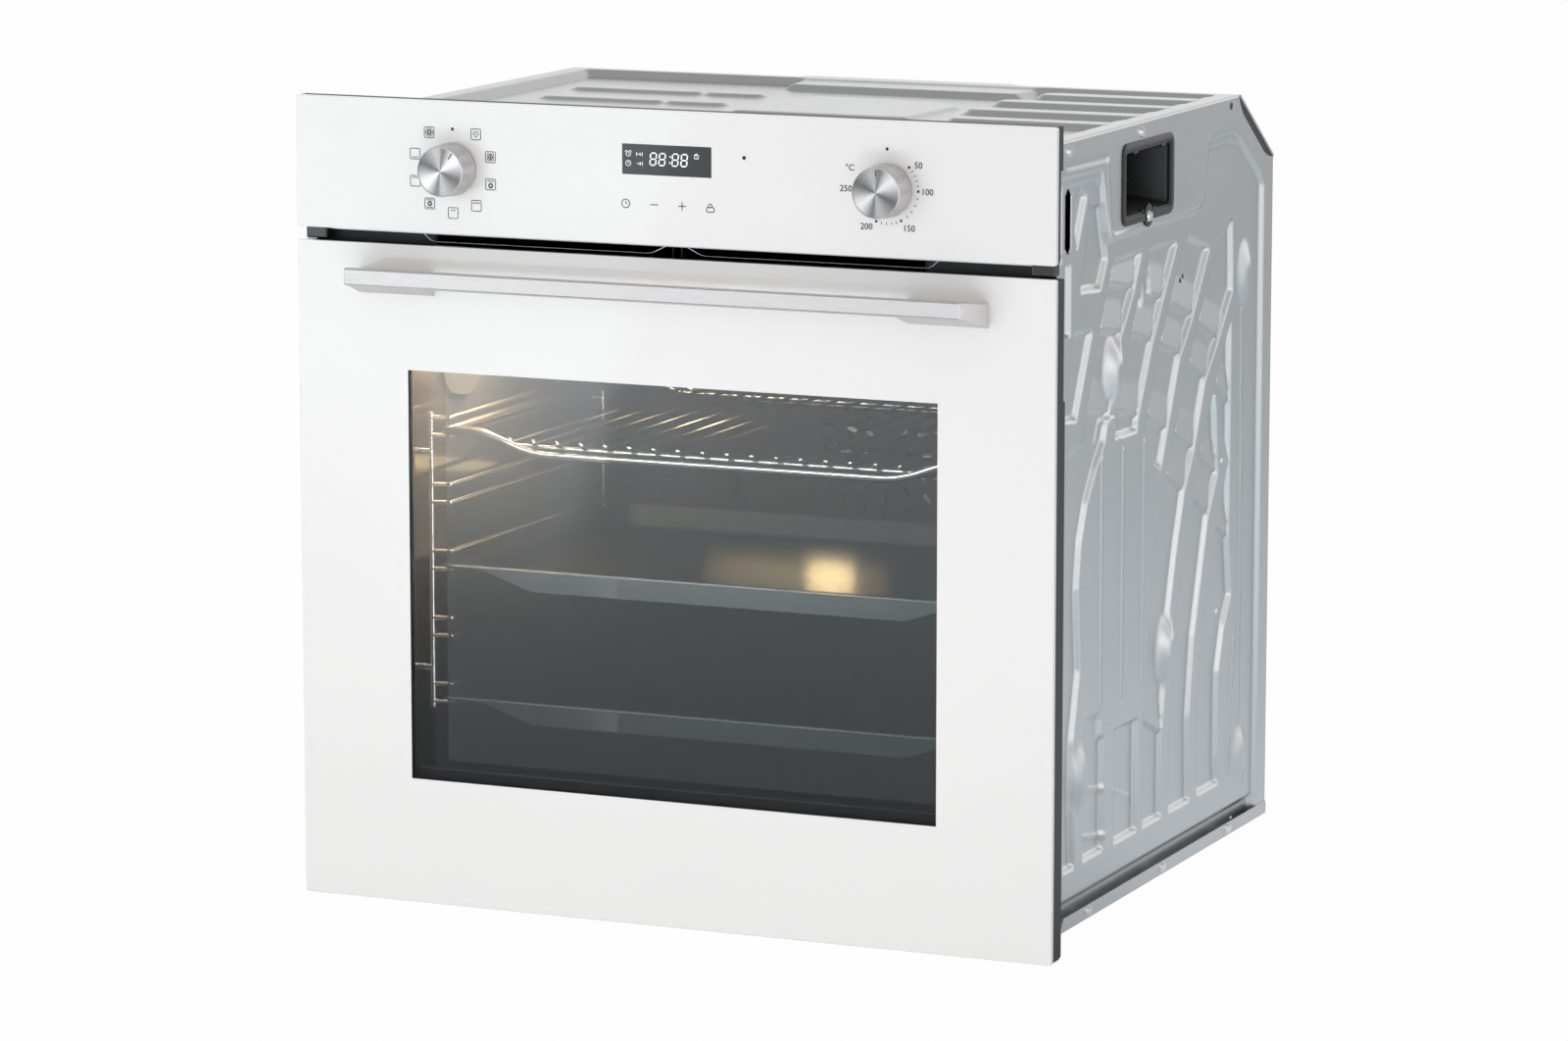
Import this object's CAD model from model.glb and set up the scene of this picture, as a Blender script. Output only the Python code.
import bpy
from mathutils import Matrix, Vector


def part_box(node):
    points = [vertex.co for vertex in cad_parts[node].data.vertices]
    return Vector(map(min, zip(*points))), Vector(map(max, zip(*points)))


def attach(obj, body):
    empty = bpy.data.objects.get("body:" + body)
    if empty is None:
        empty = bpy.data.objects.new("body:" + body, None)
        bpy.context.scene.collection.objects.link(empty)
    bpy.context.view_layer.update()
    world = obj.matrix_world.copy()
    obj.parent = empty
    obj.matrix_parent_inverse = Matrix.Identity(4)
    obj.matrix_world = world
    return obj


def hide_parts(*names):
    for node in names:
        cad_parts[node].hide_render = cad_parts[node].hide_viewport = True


bl_info = {
    "name": "Wall Oven Finish",
    "version": (1, 0, 0),
    "blender": (4, 5, 0),
    "location": "View3D > Sidebar > Wall Oven",
    "description": "Dresses a built-in wall oven with glass, pressed steel, enamel and controls",
    "category": "Object",
}

import math

import bmesh
import bpy
import numpy as np
from bpy.props import FloatProperty, FloatVectorProperty, PointerProperty
from mathutils import Vector

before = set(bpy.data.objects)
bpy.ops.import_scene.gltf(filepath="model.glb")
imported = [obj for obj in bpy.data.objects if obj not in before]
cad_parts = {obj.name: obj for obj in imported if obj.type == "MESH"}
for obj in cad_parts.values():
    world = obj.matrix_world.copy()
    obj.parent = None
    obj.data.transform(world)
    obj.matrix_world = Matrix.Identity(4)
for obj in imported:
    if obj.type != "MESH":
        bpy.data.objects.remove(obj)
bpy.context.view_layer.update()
MM = 0.001
SIDES = (-1, 1)
QUARTER = math.pi / 2
# The front face of the glass, from which all depths are counted
GLASS_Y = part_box("control_panel_glass")[0].y


def laid(points):
    """Points given in millimetres as (x, depth behind the front glass, height), in metres of the frame."""
    return np.asarray(points, float) * MM + np.array([0.0, GLASS_Y, 0.0])


def in_mm(node):
    """Lowest and highest corner of a node's box in millimetres, as (x, depth, height)."""
    return [np.array([c.x, c.y - GLASS_Y, c.z]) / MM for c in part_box(node)]


# ---------- meshes ----------

def grid_quads(rows, columns, wrap_rows=False, wrap_columns=False):
    """Corner numbers of the quads of a grid, row by row; a wrapped side joins its last line to its first."""
    i = np.arange(rows if wrap_rows else rows - 1)
    j = np.arange(columns if wrap_columns else columns - 1)
    a, b = np.meshgrid(i, j, indexing="ij")
    c, d = (a + 1) % rows, (b + 1) % columns
    return np.stack([a * columns + b, c * columns + b, c * columns + d, a * columns + d], -1).reshape(-1, 4)


def mesh_of(name, points, quads):
    """Mesh from an array of points and an array of four-cornered faces."""
    mesh = bpy.data.meshes.new(name)
    points = np.asarray(points, np.float32).reshape(-1, 3)
    quads = np.asarray(quads, np.int32)
    mesh.vertices.add(len(points))
    mesh.vertices.foreach_set("co", points.ravel())
    mesh.loops.add(quads.size)
    mesh.loops.foreach_set("vertex_index", quads.ravel())
    mesh.polygons.add(len(quads))
    mesh.polygons.foreach_set("loop_start", np.arange(0, quads.size, 4, dtype=np.int32))
    mesh.update(calc_edges=True)
    return mesh


def tidy_mesh(mesh, merge, recalc=True):
    """Merges doubles, drops loose points and turns every face outwards."""
    work = bmesh.new()
    work.from_mesh(mesh)
    bmesh.ops.remove_doubles(work, verts=work.verts, dist=merge)
    loose = [v for v in work.verts if not v.link_faces]
    bmesh.ops.delete(work, geom=loose, context="VERTS")
    if recalc:
        bmesh.ops.recalc_face_normals(work, faces=work.faces)
    work.to_mesh(mesh)
    work.free()


def set_out(name, mesh, material, body, stands_for=(), sharp=0.0):
    """Object that carries a mesh, rides on a body and may stand for CAD nodes.

    It is shaded smooth up to an angle in degrees, or flat where that angle is 0.
    """
    piece = bpy.data.objects.new(name, mesh)
    bpy.context.scene.collection.objects.link(piece)
    mesh.materials.append(material)
    mesh.polygons.foreach_set("use_smooth", np.full(len(mesh.polygons), bool(sharp)))
    if sharp:
        mesh.set_sharp_from_angle(angle=math.radians(sharp))
    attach(piece, body)
    if stands_for:
        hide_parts(*stands_for)
    return piece


def solid(name, parts, material, body, stands_for=(), sharp=0.0, merge=1e-7):
    """One object from (points, quads) parts, with doubles merged unless merge is 0."""
    mesh = mesh_of(name, *joined(parts))
    if merge:
        tidy_mesh(mesh, merge)
    return set_out(name, mesh, material, body, stands_for, sharp)


def bevelled(piece, width, segments):
    """Adds a small rounding to every edge sharper than 35 degrees."""
    edge = piece.modifiers.new("rounded edges", "BEVEL")
    edge.width = width
    edge.segments = segments
    edge.limit_method = "ANGLE"
    edge.angle_limit = math.radians(35.0)
    edge.harden_normals = False


def joined(parts):
    """Points and quads of several (points, quads) pairs as one pair."""
    starts = np.cumsum([0] + [len(p) for p, _ in parts[:-1]])
    points = np.concatenate([np.asarray(p, float) for p, _ in parts])
    quads = np.concatenate([np.asarray(q) + s for (_, q), s in zip(parts, starts)])
    return points, quads


def capped(loops):
    """Closed skin over a stack of loops (loop, point, place); each end is drawn together to its middle."""
    caps = loops[[0, -1]].mean(1, keepdims=True) + 0 * loops[[0, -1]]
    loops = np.concatenate([caps[:1], loops, caps[1:]])
    return loops.reshape(-1, 3), grid_quads(len(loops), loops.shape[1], wrap_columns=True)


def block(xs, depths, heights):
    """Box between two x, two depths and two heights in millimetres; the x come in either order."""
    a, b = laid([(min(xs), depths[0], heights[0]), (max(xs), depths[1], heights[1])])
    pick = np.array([[0, 0, 0], [1, 0, 0], [1, 1, 0], [0, 1, 0], [0, 0, 1], [1, 0, 1], [1, 1, 1], [0, 1, 1]])
    quads = np.array([[0, 3, 2, 1], [4, 5, 6, 7], [0, 1, 5, 4], [1, 2, 6, 5], [2, 3, 7, 6], [3, 0, 4, 7]])
    return a + pick * (b - a), quads


def lathe(profile, centre, steps, axis="y"):
    """A profile of (radius, height) pairs in millimetres turned a full circle about an axis through a centre.

    Point = centre + radius * (cos t, sin t) across the axis + height along it; along y, height is a depth.
    """
    t = np.linspace(0, 2 * math.pi, steps, endpoint=False)
    r, h = np.asarray(profile, float).T[:, :, None]
    a, b, c = r * np.cos(t), r * np.sin(t), h + 0 * t
    order = {"y": (a, c, b), "x": (c, a, b)}[axis]
    points = laid(np.stack(order, -1) + np.asarray(centre, float))
    return points.reshape(-1, 3), grid_quads(len(profile), steps, wrap_columns=True)


def tangents(path, closed=False):
    """Unit tangent of every point of a path, from the points on both sides of it."""
    if closed:
        along = np.roll(path, -1, 0) - np.roll(path, 1, 0)
    else:
        along = np.gradient(path, axis=0)
    return along / np.maximum(np.linalg.norm(along, axis=1, keepdims=True), 1e-12)


def tube(path, radius, steps):
    """A round wire in millimetres: each ring lies across the path's tangent, carried on without twist."""
    path = np.asarray(path, float)
    tangent = tangents(path)
    side = np.zeros_like(path)
    seed = np.array([0.0, 0.0, 1.0]) if abs(tangent[0][2]) < 0.9 else np.array([1.0, 0.0, 0.0])
    for i, t in enumerate(tangent):
        seed = seed - t * (seed @ t)
        seed = seed / np.linalg.norm(seed)
        side[i] = seed
    other = np.cross(tangent, side)
    turn = np.linspace(0, 2 * math.pi, steps, endpoint=False)[None, :, None]
    ring = np.cos(turn) * side[:, None] + np.sin(turn) * other[:, None]
    return capped(laid(path[:, None] + ring * radius))


def rounded_path(corners, radius, steps, closed=False):
    """A polyline whose corners are replaced by quadratic curves that start one radius before them."""
    corners = np.asarray(corners, float)
    out = []
    last = len(corners)
    for i in range(last):
        if not closed and i in (0, last - 1):
            out.append(corners[i][None])
            continue
        here = corners[i]
        gaps = [corners[i - 1] - here, corners[(i + 1) % last] - here]
        a, b = (here + gap / np.linalg.norm(gap) * min(radius, 0.49 * np.linalg.norm(gap)) for gap in gaps)
        t = np.linspace(0, 1, steps)[:, None]
        out.append((1 - t) ** 2 * a + 2 * t * (1 - t) * here + t ** 2 * b)
    return np.concatenate(out)


def rounded_loop(u0, u1, v0, v1, r, steps=6):
    """Rectangle with round corners as points (u, v), from the far upper corner round."""
    t = np.linspace(0, QUARTER, steps)
    corners = ((u1 - r, v1 - r), (u0 + r, v1 - r), (u0 + r, v0 + r), (u1 - r, v0 + r))
    return np.concatenate([np.stack([u + r * np.cos(t + i * QUARTER), v + r * np.sin(t + i * QUARTER)], -1)
                           for i, (u, v) in enumerate(corners)])


# ---------- height fields ----------

def spaced(breaks, step):
    """Grid lines that pass through every break and lie about one step apart between them."""
    lines = [np.linspace(a, b, max(2, int(round((b - a) / step)) + 1))[:-1] for a, b in zip(breaks, breaks[1:])]
    return np.concatenate(lines + [np.array([breaks[-1]])])


def eased(t):
    """Smooth step from 0 to 1."""
    t = np.clip(t, 0, 1)
    return t * t * (3 - 2 * t)


def away(u, v, line):
    """Distance from a polyline."""
    best = np.full(u.shape, np.inf)
    for (ax, ay), (bx, by) in zip(line, line[1:]):
        ex, ey = bx - ax, by - ay
        t = np.clip(((u - ax) * ex + (v - ay) * ey) / (ex * ex + ey * ey), 0, 1)
        best = np.minimum(best, np.hypot(u - ax - t * ex, v - ay - t * ey))
    return best


def inside(u, v, corners):
    """Distance in from the outline of a polygon, negative outside it."""
    outline = [*corners, corners[0]]
    within = np.zeros(u.shape, bool)
    for (ax, ay), (bx, by) in zip(outline, outline[1:]):
        within ^= ((ay > v) != (by > v)) & (u < (bx - ax) * (v - ay) / (by - ay + 1e-12) + ax)
    gap = away(u, v, outline)
    return np.where(within, gap, -gap)


def pressed(u, v, corners, wall):
    """0 outside a pad, 1 on its floor, with a wall of a given width centred on its outline."""
    return eased(inside(u, v, corners) / wall + 0.5)


def band(u, v, ends, width, wall):
    """1 on a straight band with round ends between two points, 0 beside it."""
    return eased((width / 2 - away(u, v, ends)) / wall + 0.5)


def ridge(u, v, line, reach):
    """1 on a polyline, falling to 0 within a reach of it."""
    return eased(1 - away(u, v, line) / reach)


def softened(field):
    """Rounds a height field by averaging each point with its neighbours, one part in four."""
    for axis in (0, 1):
        padded = np.concatenate([field.take([0], axis), field, field.take([-1], axis)], axis)
        n = field.shape[axis]
        field = 0.25 * padded.take(range(n), axis) + 0.5 * field + 0.25 * padded.take(range(2, n + 2), axis)
    return field


# ---------- shader trees ----------

class Value:
    """A socket of a shader tree that can stand in a sum: each step of the sum makes a math node."""

    def __init__(self, socket):
        self.socket = socket

    def step(self, operation, a, b, clamp=False):
        """What a math node makes of two inputs."""
        tree = self.socket.id_data
        return Value(node(tree, "Math", {0: a, 1: b}, operation=operation, use_clamp=clamp).outputs[0])

    def __add__(self, other):
        return self.step("ADD", self, other)

    def __sub__(self, other):
        return self.step("SUBTRACT", self, other)

    def __rsub__(self, other):
        return self.step("SUBTRACT", other, self)

    def __mul__(self, other):
        return self.step("MULTIPLY", self, other)

    def __truediv__(self, other):
        return self.step("DIVIDE", self, other)

    def clamped(self, plus):
        """The sum with another value, held between 0 and 1."""
        return self.step("ADD", self, plus, clamp=True)

    def greater(self, other):
        """The larger of two values."""
        return self.step("MAXIMUM", self, other)

    def span(self, low, high, at_low, at_high):
        """The value carried from one range to another, held at its ends."""
        feeds = {"Value": self, "From Min": low, "From Max": high, "To Min": at_low, "To Max": at_high}
        return Value(node(self.socket.id_data, "MapRange", feeds).outputs[0])


def feed(made, feeds):
    """Gives inputs of a node, by label or number, their values or links."""
    for label, value in feeds.items():
        if isinstance(value, Value):
            made.id_data.links.new(value.socket, made.inputs[label])
        else:
            made.inputs[label].default_value = value


def node(tree, kind, feeds=None, **options):
    """New shader node with its own options and its inputs fed."""
    made = tree.nodes.new("ShaderNode" + kind)
    for label, value in options.items():
        setattr(made, label, value)
    feed(made, feeds or {})
    return made


def vector(tree, operation, a, b=None, output=0, **feeds):
    """Output of a vector math node."""
    made = node(tree, "VectorMath", {0: a, **({} if b is None else {1: b}), **feeds}, operation=operation)
    return Value(made.outputs[output])


def spot(tree, kind="Object"):
    """The point that is shaded, in coordinates of a kind."""
    return Value(node(tree, "TexCoord").outputs[kind])


def axes(tree, place):
    """The three coordinates of a place."""
    parts = node(tree, "SeparateXYZ", {0: place})
    return [Value(parts.outputs[axis]) for axis in "XYZ"]


def rays(tree, *kinds):
    """1 for rays of each kind, 0 for others."""
    way = node(tree, "LightPath")
    return [Value(way.outputs["Is " + kind + " Ray"]) for kind in kinds]


def fine_grain(tree, scale, stretch, contrast):
    """Fine Grain: stretched noise on object coordinates, spread over 0 to 1."""
    place = vector(tree, "MULTIPLY", spot(tree), stretch)
    noise = Value(node(tree, "TexNoise", {"Vector": place, "Scale": scale, "Detail": 2.0}).outputs["Fac"])
    return [((noise - 0.5) * contrast).clamped(0.5)]


def toned_colour(tree, colour, mask, amount):
    """Toned Colour: a colour darkened by a mask times an amount."""
    return [vector(tree, "SCALE", colour, Scale=1.0 - mask * amount)]


def turned_rings(tree, centre, rings, tip):
    """Turned Rings: normals tipped in and out along the radius, as the marks of a lathe tool do."""
    flat = vector(tree, "MULTIPLY", vector(tree, "SUBTRACT", spot(tree), centre), (1.0, 0.0, 1.0))
    far = vector(tree, "LENGTH", flat, output="Value")
    noise = node(tree, "TexNoise", {"W": far * rings, "Detail": 0.0, "Scale": 1.0}, noise_dimensions="1D")
    wave = Value(noise.outputs["Fac"]) - 0.5
    lean = vector(tree, "SCALE", vector(tree, "NORMALIZE", flat), Scale=wave * tip)
    turned = node(tree, "VectorTransform", {0: lean}, vector_type="VECTOR", convert_from="OBJECT",
                  convert_to="WORLD")
    own = Value(node(tree, "NewGeometry").outputs["Normal"])
    return [vector(tree, "NORMALIZE", vector(tree, "ADD", Value(turned.outputs[0]), own)), wave.clamped(0.5)]


def sheen_fan(tree, centre):
    """Sheen Fan: tone of a lathe-faced disc by angle about its axis, the same on both halves, with fine rays."""
    x, _, z = axes(tree, vector(tree, "SUBTRACT", spot(tree), centre))
    half_turns = x.step("ARCTAN2", x, z) / math.pi + 1.0
    turn = half_turns.step("FRACT", half_turns, 0.0)
    noise = node(tree, "TexNoise", {"W": turn, "Scale": 60.0, "Detail": 2.0}, noise_dimensions="1D")
    ramp = node(tree, "ValToRGB", {0: turn + (Value(noise.outputs["Fac"]) - 0.5) * 0.035})
    ramp.color_ramp.interpolation = "B_SPLINE"
    stops = [(0.0, 0.44), (0.045, 0.18), (0.12, 0.32), (0.25, 0.90), (0.33, 0.84), (0.45, 0.52), (0.60, 0.13),
             (0.68, 0.18), (0.83, 0.40), (0.93, 0.54), (1.0, 0.44)]
    for i, (at, tone) in enumerate(stops):
        stop = ramp.color_ramp.elements[i] if i < 2 else ramp.color_ramp.elements.new(at)
        stop.position = at
        stop.color = (tone, 0.96 * tone, 0.94 * tone, 1.0)
    return [Value(ramp.outputs["Color"])]


def lamp_haze(tree, centre, reach, colour):
    """Lamp Haze: share of light scattered about a place, falling away with distance."""
    ratio = vector(tree, "DISTANCE", spot(tree), centre, output="Value") / reach
    one = ratio * ratio + 1.0
    fall = one.step("DIVIDE", 1.0, one)
    return [vector(tree, "SCALE", colour, Scale=fall * fall)]


def front_band(tree, place, soft):
    """Front Band: 1 in front of a place along y, 0 behind it, with a short soft edge."""
    return [((place - axes(tree, spot(tree))[1]) / soft).clamped(0.5)]


# Groups by name: what fills them, their inputs with defaults, and the kinds of their outputs
GROUPS = {
    "Fine Grain": (fine_grain, {"Scale": 800.0, "Stretch": (1.0, 1.0, 1.0), "Contrast": 2.2}, {"Value": "Float"}),
    "Toned Colour": (toned_colour, {"Colour": (0.5, 0.5, 0.5, 1.0), "Mask": 0.0, "Amount": 0.1},
                     {"Colour": "Color"}),
    "Turned Rings": (turned_rings, {"Centre": (0.0, 0.0, 0.0), "Rings": 20000.0, "Tip": 0.2},
                     {"Normal": "Vector", "Mask": "Float"}),
    "Sheen Fan": (sheen_fan, {"Centre": (0.0, 0.0, 0.0)}, {"Colour": "Color"}),
    "Lamp Haze": (lamp_haze, {"Centre": (0.0, 0.0, 0.0), "Reach": 0.1, "Colour": (1.0, 0.7, 0.4, 1.0)},
                  {"Colour": "Color"}),
    "Front Band": (front_band, {"Place": 0.0, "Soft": 0.002}, {"Mask": "Float"}),
}


def group_tree(name):
    """The shader group of a name, made when it is first asked for."""
    found = bpy.data.node_groups.get(name)
    if found:
        return found
    fill, inputs, outputs = GROUPS[name]
    tree = bpy.data.node_groups.new(name, "ShaderNodeTree")
    for label, value in inputs.items():
        kind = "Float" if isinstance(value, float) else {3: "Vector", 4: "Color"}[len(value)]
        socket = tree.interface.new_socket(label, in_out="INPUT", socket_type="NodeSocket" + kind)
        socket.default_value = value
    for label, kind in outputs.items():
        tree.interface.new_socket(label, in_out="OUTPUT", socket_type="NodeSocket" + kind)
    start, end = tree.nodes.new("NodeGroupInput"), tree.nodes.new("NodeGroupOutput")
    results = fill(tree, *[Value(start.outputs[label]) for label in inputs])
    feed(end, dict(zip(outputs, results)))
    return tree


def placed(tree, name, **feeds):
    """First output of a group set in a tree with its own values."""
    made = tree.nodes.new("ShaderNodeGroup")
    made.node_tree = group_tree(name)
    feed(made, feeds)
    return Value(made.outputs[0])


# ---------- finishes ----------

def finish(name, colour, rough, metallic=0.0, grain=900.0, stretch=(1.0, 1.0, 1.0), tone=0.08, bump=0.1,
           relief=0.0002, patches=0.0, patch_scale=14.0, **plain):
    """Material with a fine grain in its colour, roughness and bump, and slow patches where asked."""
    found = bpy.data.materials.get(name)
    if found:
        return found
    material = bpy.data.materials.new(name)
    material.use_nodes = True
    tree = material.node_tree
    fine = placed(tree, "Fine Grain", Scale=grain, Stretch=stretch)
    toned = placed(tree, "Toned Colour", Colour=(*colour, 1.0), Mask=fine, Amount=tone)
    if patches:
        slow = placed(tree, "Fine Grain", Scale=patch_scale, Contrast=1.6)
        toned = placed(tree, "Toned Colour", Colour=toned, Mask=slow, Amount=patches)
    feed(tree.nodes["Principled BSDF"], {
        "Metallic": metallic, "Base Color": toned, "Roughness": fine.span(0.0, 1.0, *rough),
        **{label.replace("_", " "): value for label, value in plain.items()}})
    if bump:
        raised = node(tree, "Bump", {"Strength": bump, "Distance": relief, "Height": fine})
        feed(tree.nodes["Principled BSDF"], {"Normal": Value(raised.outputs[0])})
    return material


# Finishes by name, each with what it gives to the material
FINISHES = {
    "black display glass": dict(colour=(0.020, 0.017, 0.015), rough=(0.05, 0.07), grain=1200.0, tone=0.1, bump=0.0,
                                Coat_Weight=0.15, Coat_Roughness=0.02),
    "black powder coat": dict(colour=(0.014, 0.014, 0.015), rough=(0.42, 0.58), grain=2600.0, tone=0.3, bump=0.25,
                              relief=0.0001),
    "black moulded plastic": dict(colour=(0.016, 0.016, 0.017), rough=(0.34, 0.48), grain=1800.0, tone=0.25,
                                  bump=0.2, relief=0.0001),
    "turned metal side": dict(colour=(0.74, 0.72, 0.71), rough=(0.34, 0.46), metallic=1.0, grain=3600.0,
                              stretch=(1.0, 0.03, 1.0), tone=0.25, bump=0.06, relief=0.0001),
    "brushed aluminium": dict(colour=(0.79, 0.765, 0.750), rough=(0.28, 0.46), metallic=1.0, grain=5200.0,
                              stretch=(0.012, 1.0, 1.0), tone=0.16, bump=0.12, relief=0.0001),
    "bright wire": dict(colour=(0.92, 0.92, 0.91), rough=(0.18, 0.28), metallic=1.0, grain=700.0, tone=0.06,
                        bump=0.03),
    "bright zinc": dict(colour=(0.80, 0.80, 0.79), rough=(0.2, 0.32), metallic=1.0, grain=1600.0, tone=0.08,
                        bump=0.05),
    "dark enamel": dict(colour=(0.011, 0.012, 0.014), rough=(0.12, 0.22), grain=1700.0, tone=0.35, bump=0.03,
                        patches=0.2, Coat_Weight=1.0, Coat_Roughness=0.07),
    "cover enamel": dict(colour=(0.085, 0.070, 0.055), rough=(0.16, 0.24), metallic=0.9, grain=1200.0, tone=0.2),
    "bright enamel rim": dict(colour=(0.42, 0.43, 0.44), rough=(0.10, 0.16), metallic=0.6, tone=0.2, bump=0.03),
    "heater tube": dict(colour=(0.16, 0.15, 0.15), rough=(0.35, 0.5), metallic=0.9, grain=1500.0, tone=0.3),
    "motor steel": dict(colour=(0.42, 0.43, 0.44), rough=(0.3, 0.42), metallic=0.9, grain=1200.0, tone=0.12),
    "fan aluminium": dict(colour=(0.62, 0.62, 0.63), rough=(0.3, 0.4), metallic=1.0, grain=1300.0, tone=0.1),
    "circuit board": dict(colour=(0.03, 0.14, 0.06), rough=(0.35, 0.45), grain=2200.0, tone=0.3),
    "switch moulding": dict(colour=(0.72, 0.69, 0.6), rough=(0.4, 0.5), grain=1500.0, tone=0.08),
    "grey ring": dict(colour=(0.22, 0.22, 0.23), rough=(0.35, 0.45), metallic=0.6, grain=1500.0, tone=0.1),
    "mineral wool": dict(colour=(0.62, 0.55, 0.38), rough=(0.9, 1.0), grain=300.0, tone=0.35, bump=0.8,
                         relief=0.002),
    "pointer grey": dict(colour=(0.12, 0.12, 0.12), rough=(0.45, 0.55), grain=3000.0, bump=0.0),
}


def listed(name):
    """Material of one of the listed finishes."""
    return finish(name, **FINISHES[name])


def sheet_steel(settings):
    """Zinc coated sheet with a faint slow change of tone."""
    return finish("zinc coated sheet", settings.steel, (0.29, 0.37), 0.92, grain=650.0, tone=0.07, bump=0.05,
                  patches=0.05, patch_scale=9.0)


def white_glass(settings):
    """White paint under a clear glass coat."""
    return finish("white backed glass", settings.white, (0.30, 0.34), grain=1500.0, tone=0.012, bump=0.0,
                  patches=0.01, Coat_Weight=1.0, Coat_Roughness=0.015, Coat_IOR=1.5)


def clear_glass(name, tint, index):
    """Glass with a few fine specks in its colour."""
    return finish(name, tint, (0.0, 0.012), grain=2500.0, tone=0.03, bump=0.0, Transmission_Weight=1.0, IOR=index)


def glow(name, colour, strength, body=None):
    """Ink or glass that gives light of its own over a body colour, for lit segments and the lamp."""
    material = finish(name, body or colour, (0.3, 0.4), grain=3000.0, tone=0.1, bump=0.0)
    tree = material.node_tree
    fine = placed(tree, "Fine Grain", Scale=3000.0)
    toned = placed(tree, "Toned Colour", Colour=(*colour, 1.0), Mask=fine, Amount=0.1)
    shader = tree.nodes["Principled BSDF"]
    feed(shader, {"Emission Color": toned, "Emission Strength": strength})
    if body:
        feed(shader, {"Specular IOR Level": 0.0})
    return material


def spun_metal(name, centre):
    """Metal faced on a lathe: fine rings about the axis, and a fan of light and dark rays."""
    material = finish(name, (0.50, 0.475, 0.465), (0.24, 0.30), 1.0, tone=0.04, bump=0.0)
    tree = material.node_tree
    centre = tuple(centre)
    rings = placed(tree, "Turned Rings", Centre=centre, Rings=9000.0, Tip=0.3)
    mask = Value(rings.socket.node.outputs["Mask"])
    fan = placed(tree, "Sheen Fan", Centre=centre)
    toned = placed(tree, "Toned Colour", Colour=fan, Mask=mask, Amount=0.16)
    feed(tree.nodes["Principled BSDF"], {"Normal": rings, "Base Color": toned})
    return material


def coated_glass(settings):
    """Heat-reflecting inner pane: clear glass with a warm haze near the oven lamp."""
    material = clear_glass("coated glass", (0.93, 0.94, 0.95), 1.12)
    haze = placed(material.node_tree, "Lamp Haze", Centre=(-0.185, GLASS_Y + 0.014, 0.375),
                  Reach=settings.haze_reach, Colour=(1.0, 0.74, 0.52, 1.0))
    feed(material.node_tree.nodes["Principled BSDF"], {"Emission Color": haze, "Emission Strength": settings.haze})
    return material


def tray_enamel():
    """Grey enamel of the front lip of a tray, far darker on its floor and a little paler again at its rear wall."""
    material = finish("tray enamel", (0.085, 0.098, 0.110), (0.22, 0.28), grain=1500.0, tone=0.2, bump=0.03,
                      patches=0.1, IOR=1.9)
    tree = material.node_tree
    shader = tree.nodes["Principled BSDF"]
    pale = Value(shader.inputs["Base Color"].links[0].from_socket)
    low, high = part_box("baking_tray_upper")
    lip = placed(tree, "Front Band", Place=low.y + 0.006)
    before_rear = placed(tree, "Front Band", Place=high.y - 0.014)
    dark = (before_rear - lip) + (1.0 - before_rear) * 0.80
    feed(shader, {"Base Color": placed(tree, "Toned Colour", Colour=pale, Mask=dark, Amount=0.94)})
    return material


def paint(material, *nodes):
    """Gives carried nodes their finish."""
    for name in nodes:
        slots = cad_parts[name].data.materials
        if not slots:
            slots.append(material)
        for i in range(len(slots)):
            slots[i] = material


# ---------- settings ----------

def number(label, text, value, **limits):
    """Setting that holds a plain number."""
    return FloatProperty(name=label, description=text, default=value, **limits)


def length(label, text, value):
    """Setting that holds a length in metres."""
    return FloatProperty(name=label, description=text, default=value, unit="LENGTH")


def colour(label, text, value):
    """Setting that holds a colour."""
    return FloatVectorProperty(name=label, description=text, subtype="COLOR", default=value, min=0.0, max=1.0)


class CasingSettings(bpy.types.PropertyGroup):
    field_sink: length("Field sink", "How deep the field of a side lies under its border", 0.0034)
    pad_sink: length("Pad sink", "How deep the pads lie under the field", 0.0036)
    wall: length("Wall width", "Width of the sloping wall round a pad", 0.0042)
    step: length("Mesh step", "Spacing of the mesh lines of the sheets", 0.00176)
    sheet: length("Sheet", "Sheet thickness", 0.0008)
    steel: colour("Steel", "Colour of the zinc coated sheet", (0.600, 0.603, 0.607))


class FrontSettings(bpy.types.PropertyGroup):
    window_left: length("Window left", "Left edge of the window", -0.208)
    window_right: length("Window right", "Right edge of the window", 0.209)
    window_low: length("Window foot", "Lower edge of the window", 0.0931)
    window_high: length("Window top", "Upper edge of the window", 0.3971)
    white: colour("White", "Colour of the backed glass", (0.868, 0.862, 0.857))
    tint: colour("Window tint", "Colour of the window glass", (0.88, 0.895, 0.90))
    coating: number("Coating", "Refractive index that stands for the mirror of the inner pane", 1.48, min=1.0)
    haze: number("Haze", "Strength of the warm haze near the oven lamp", 0.12, min=0.0)
    haze_reach: length("Haze reach", "How far the warm haze reaches", 0.12)


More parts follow.
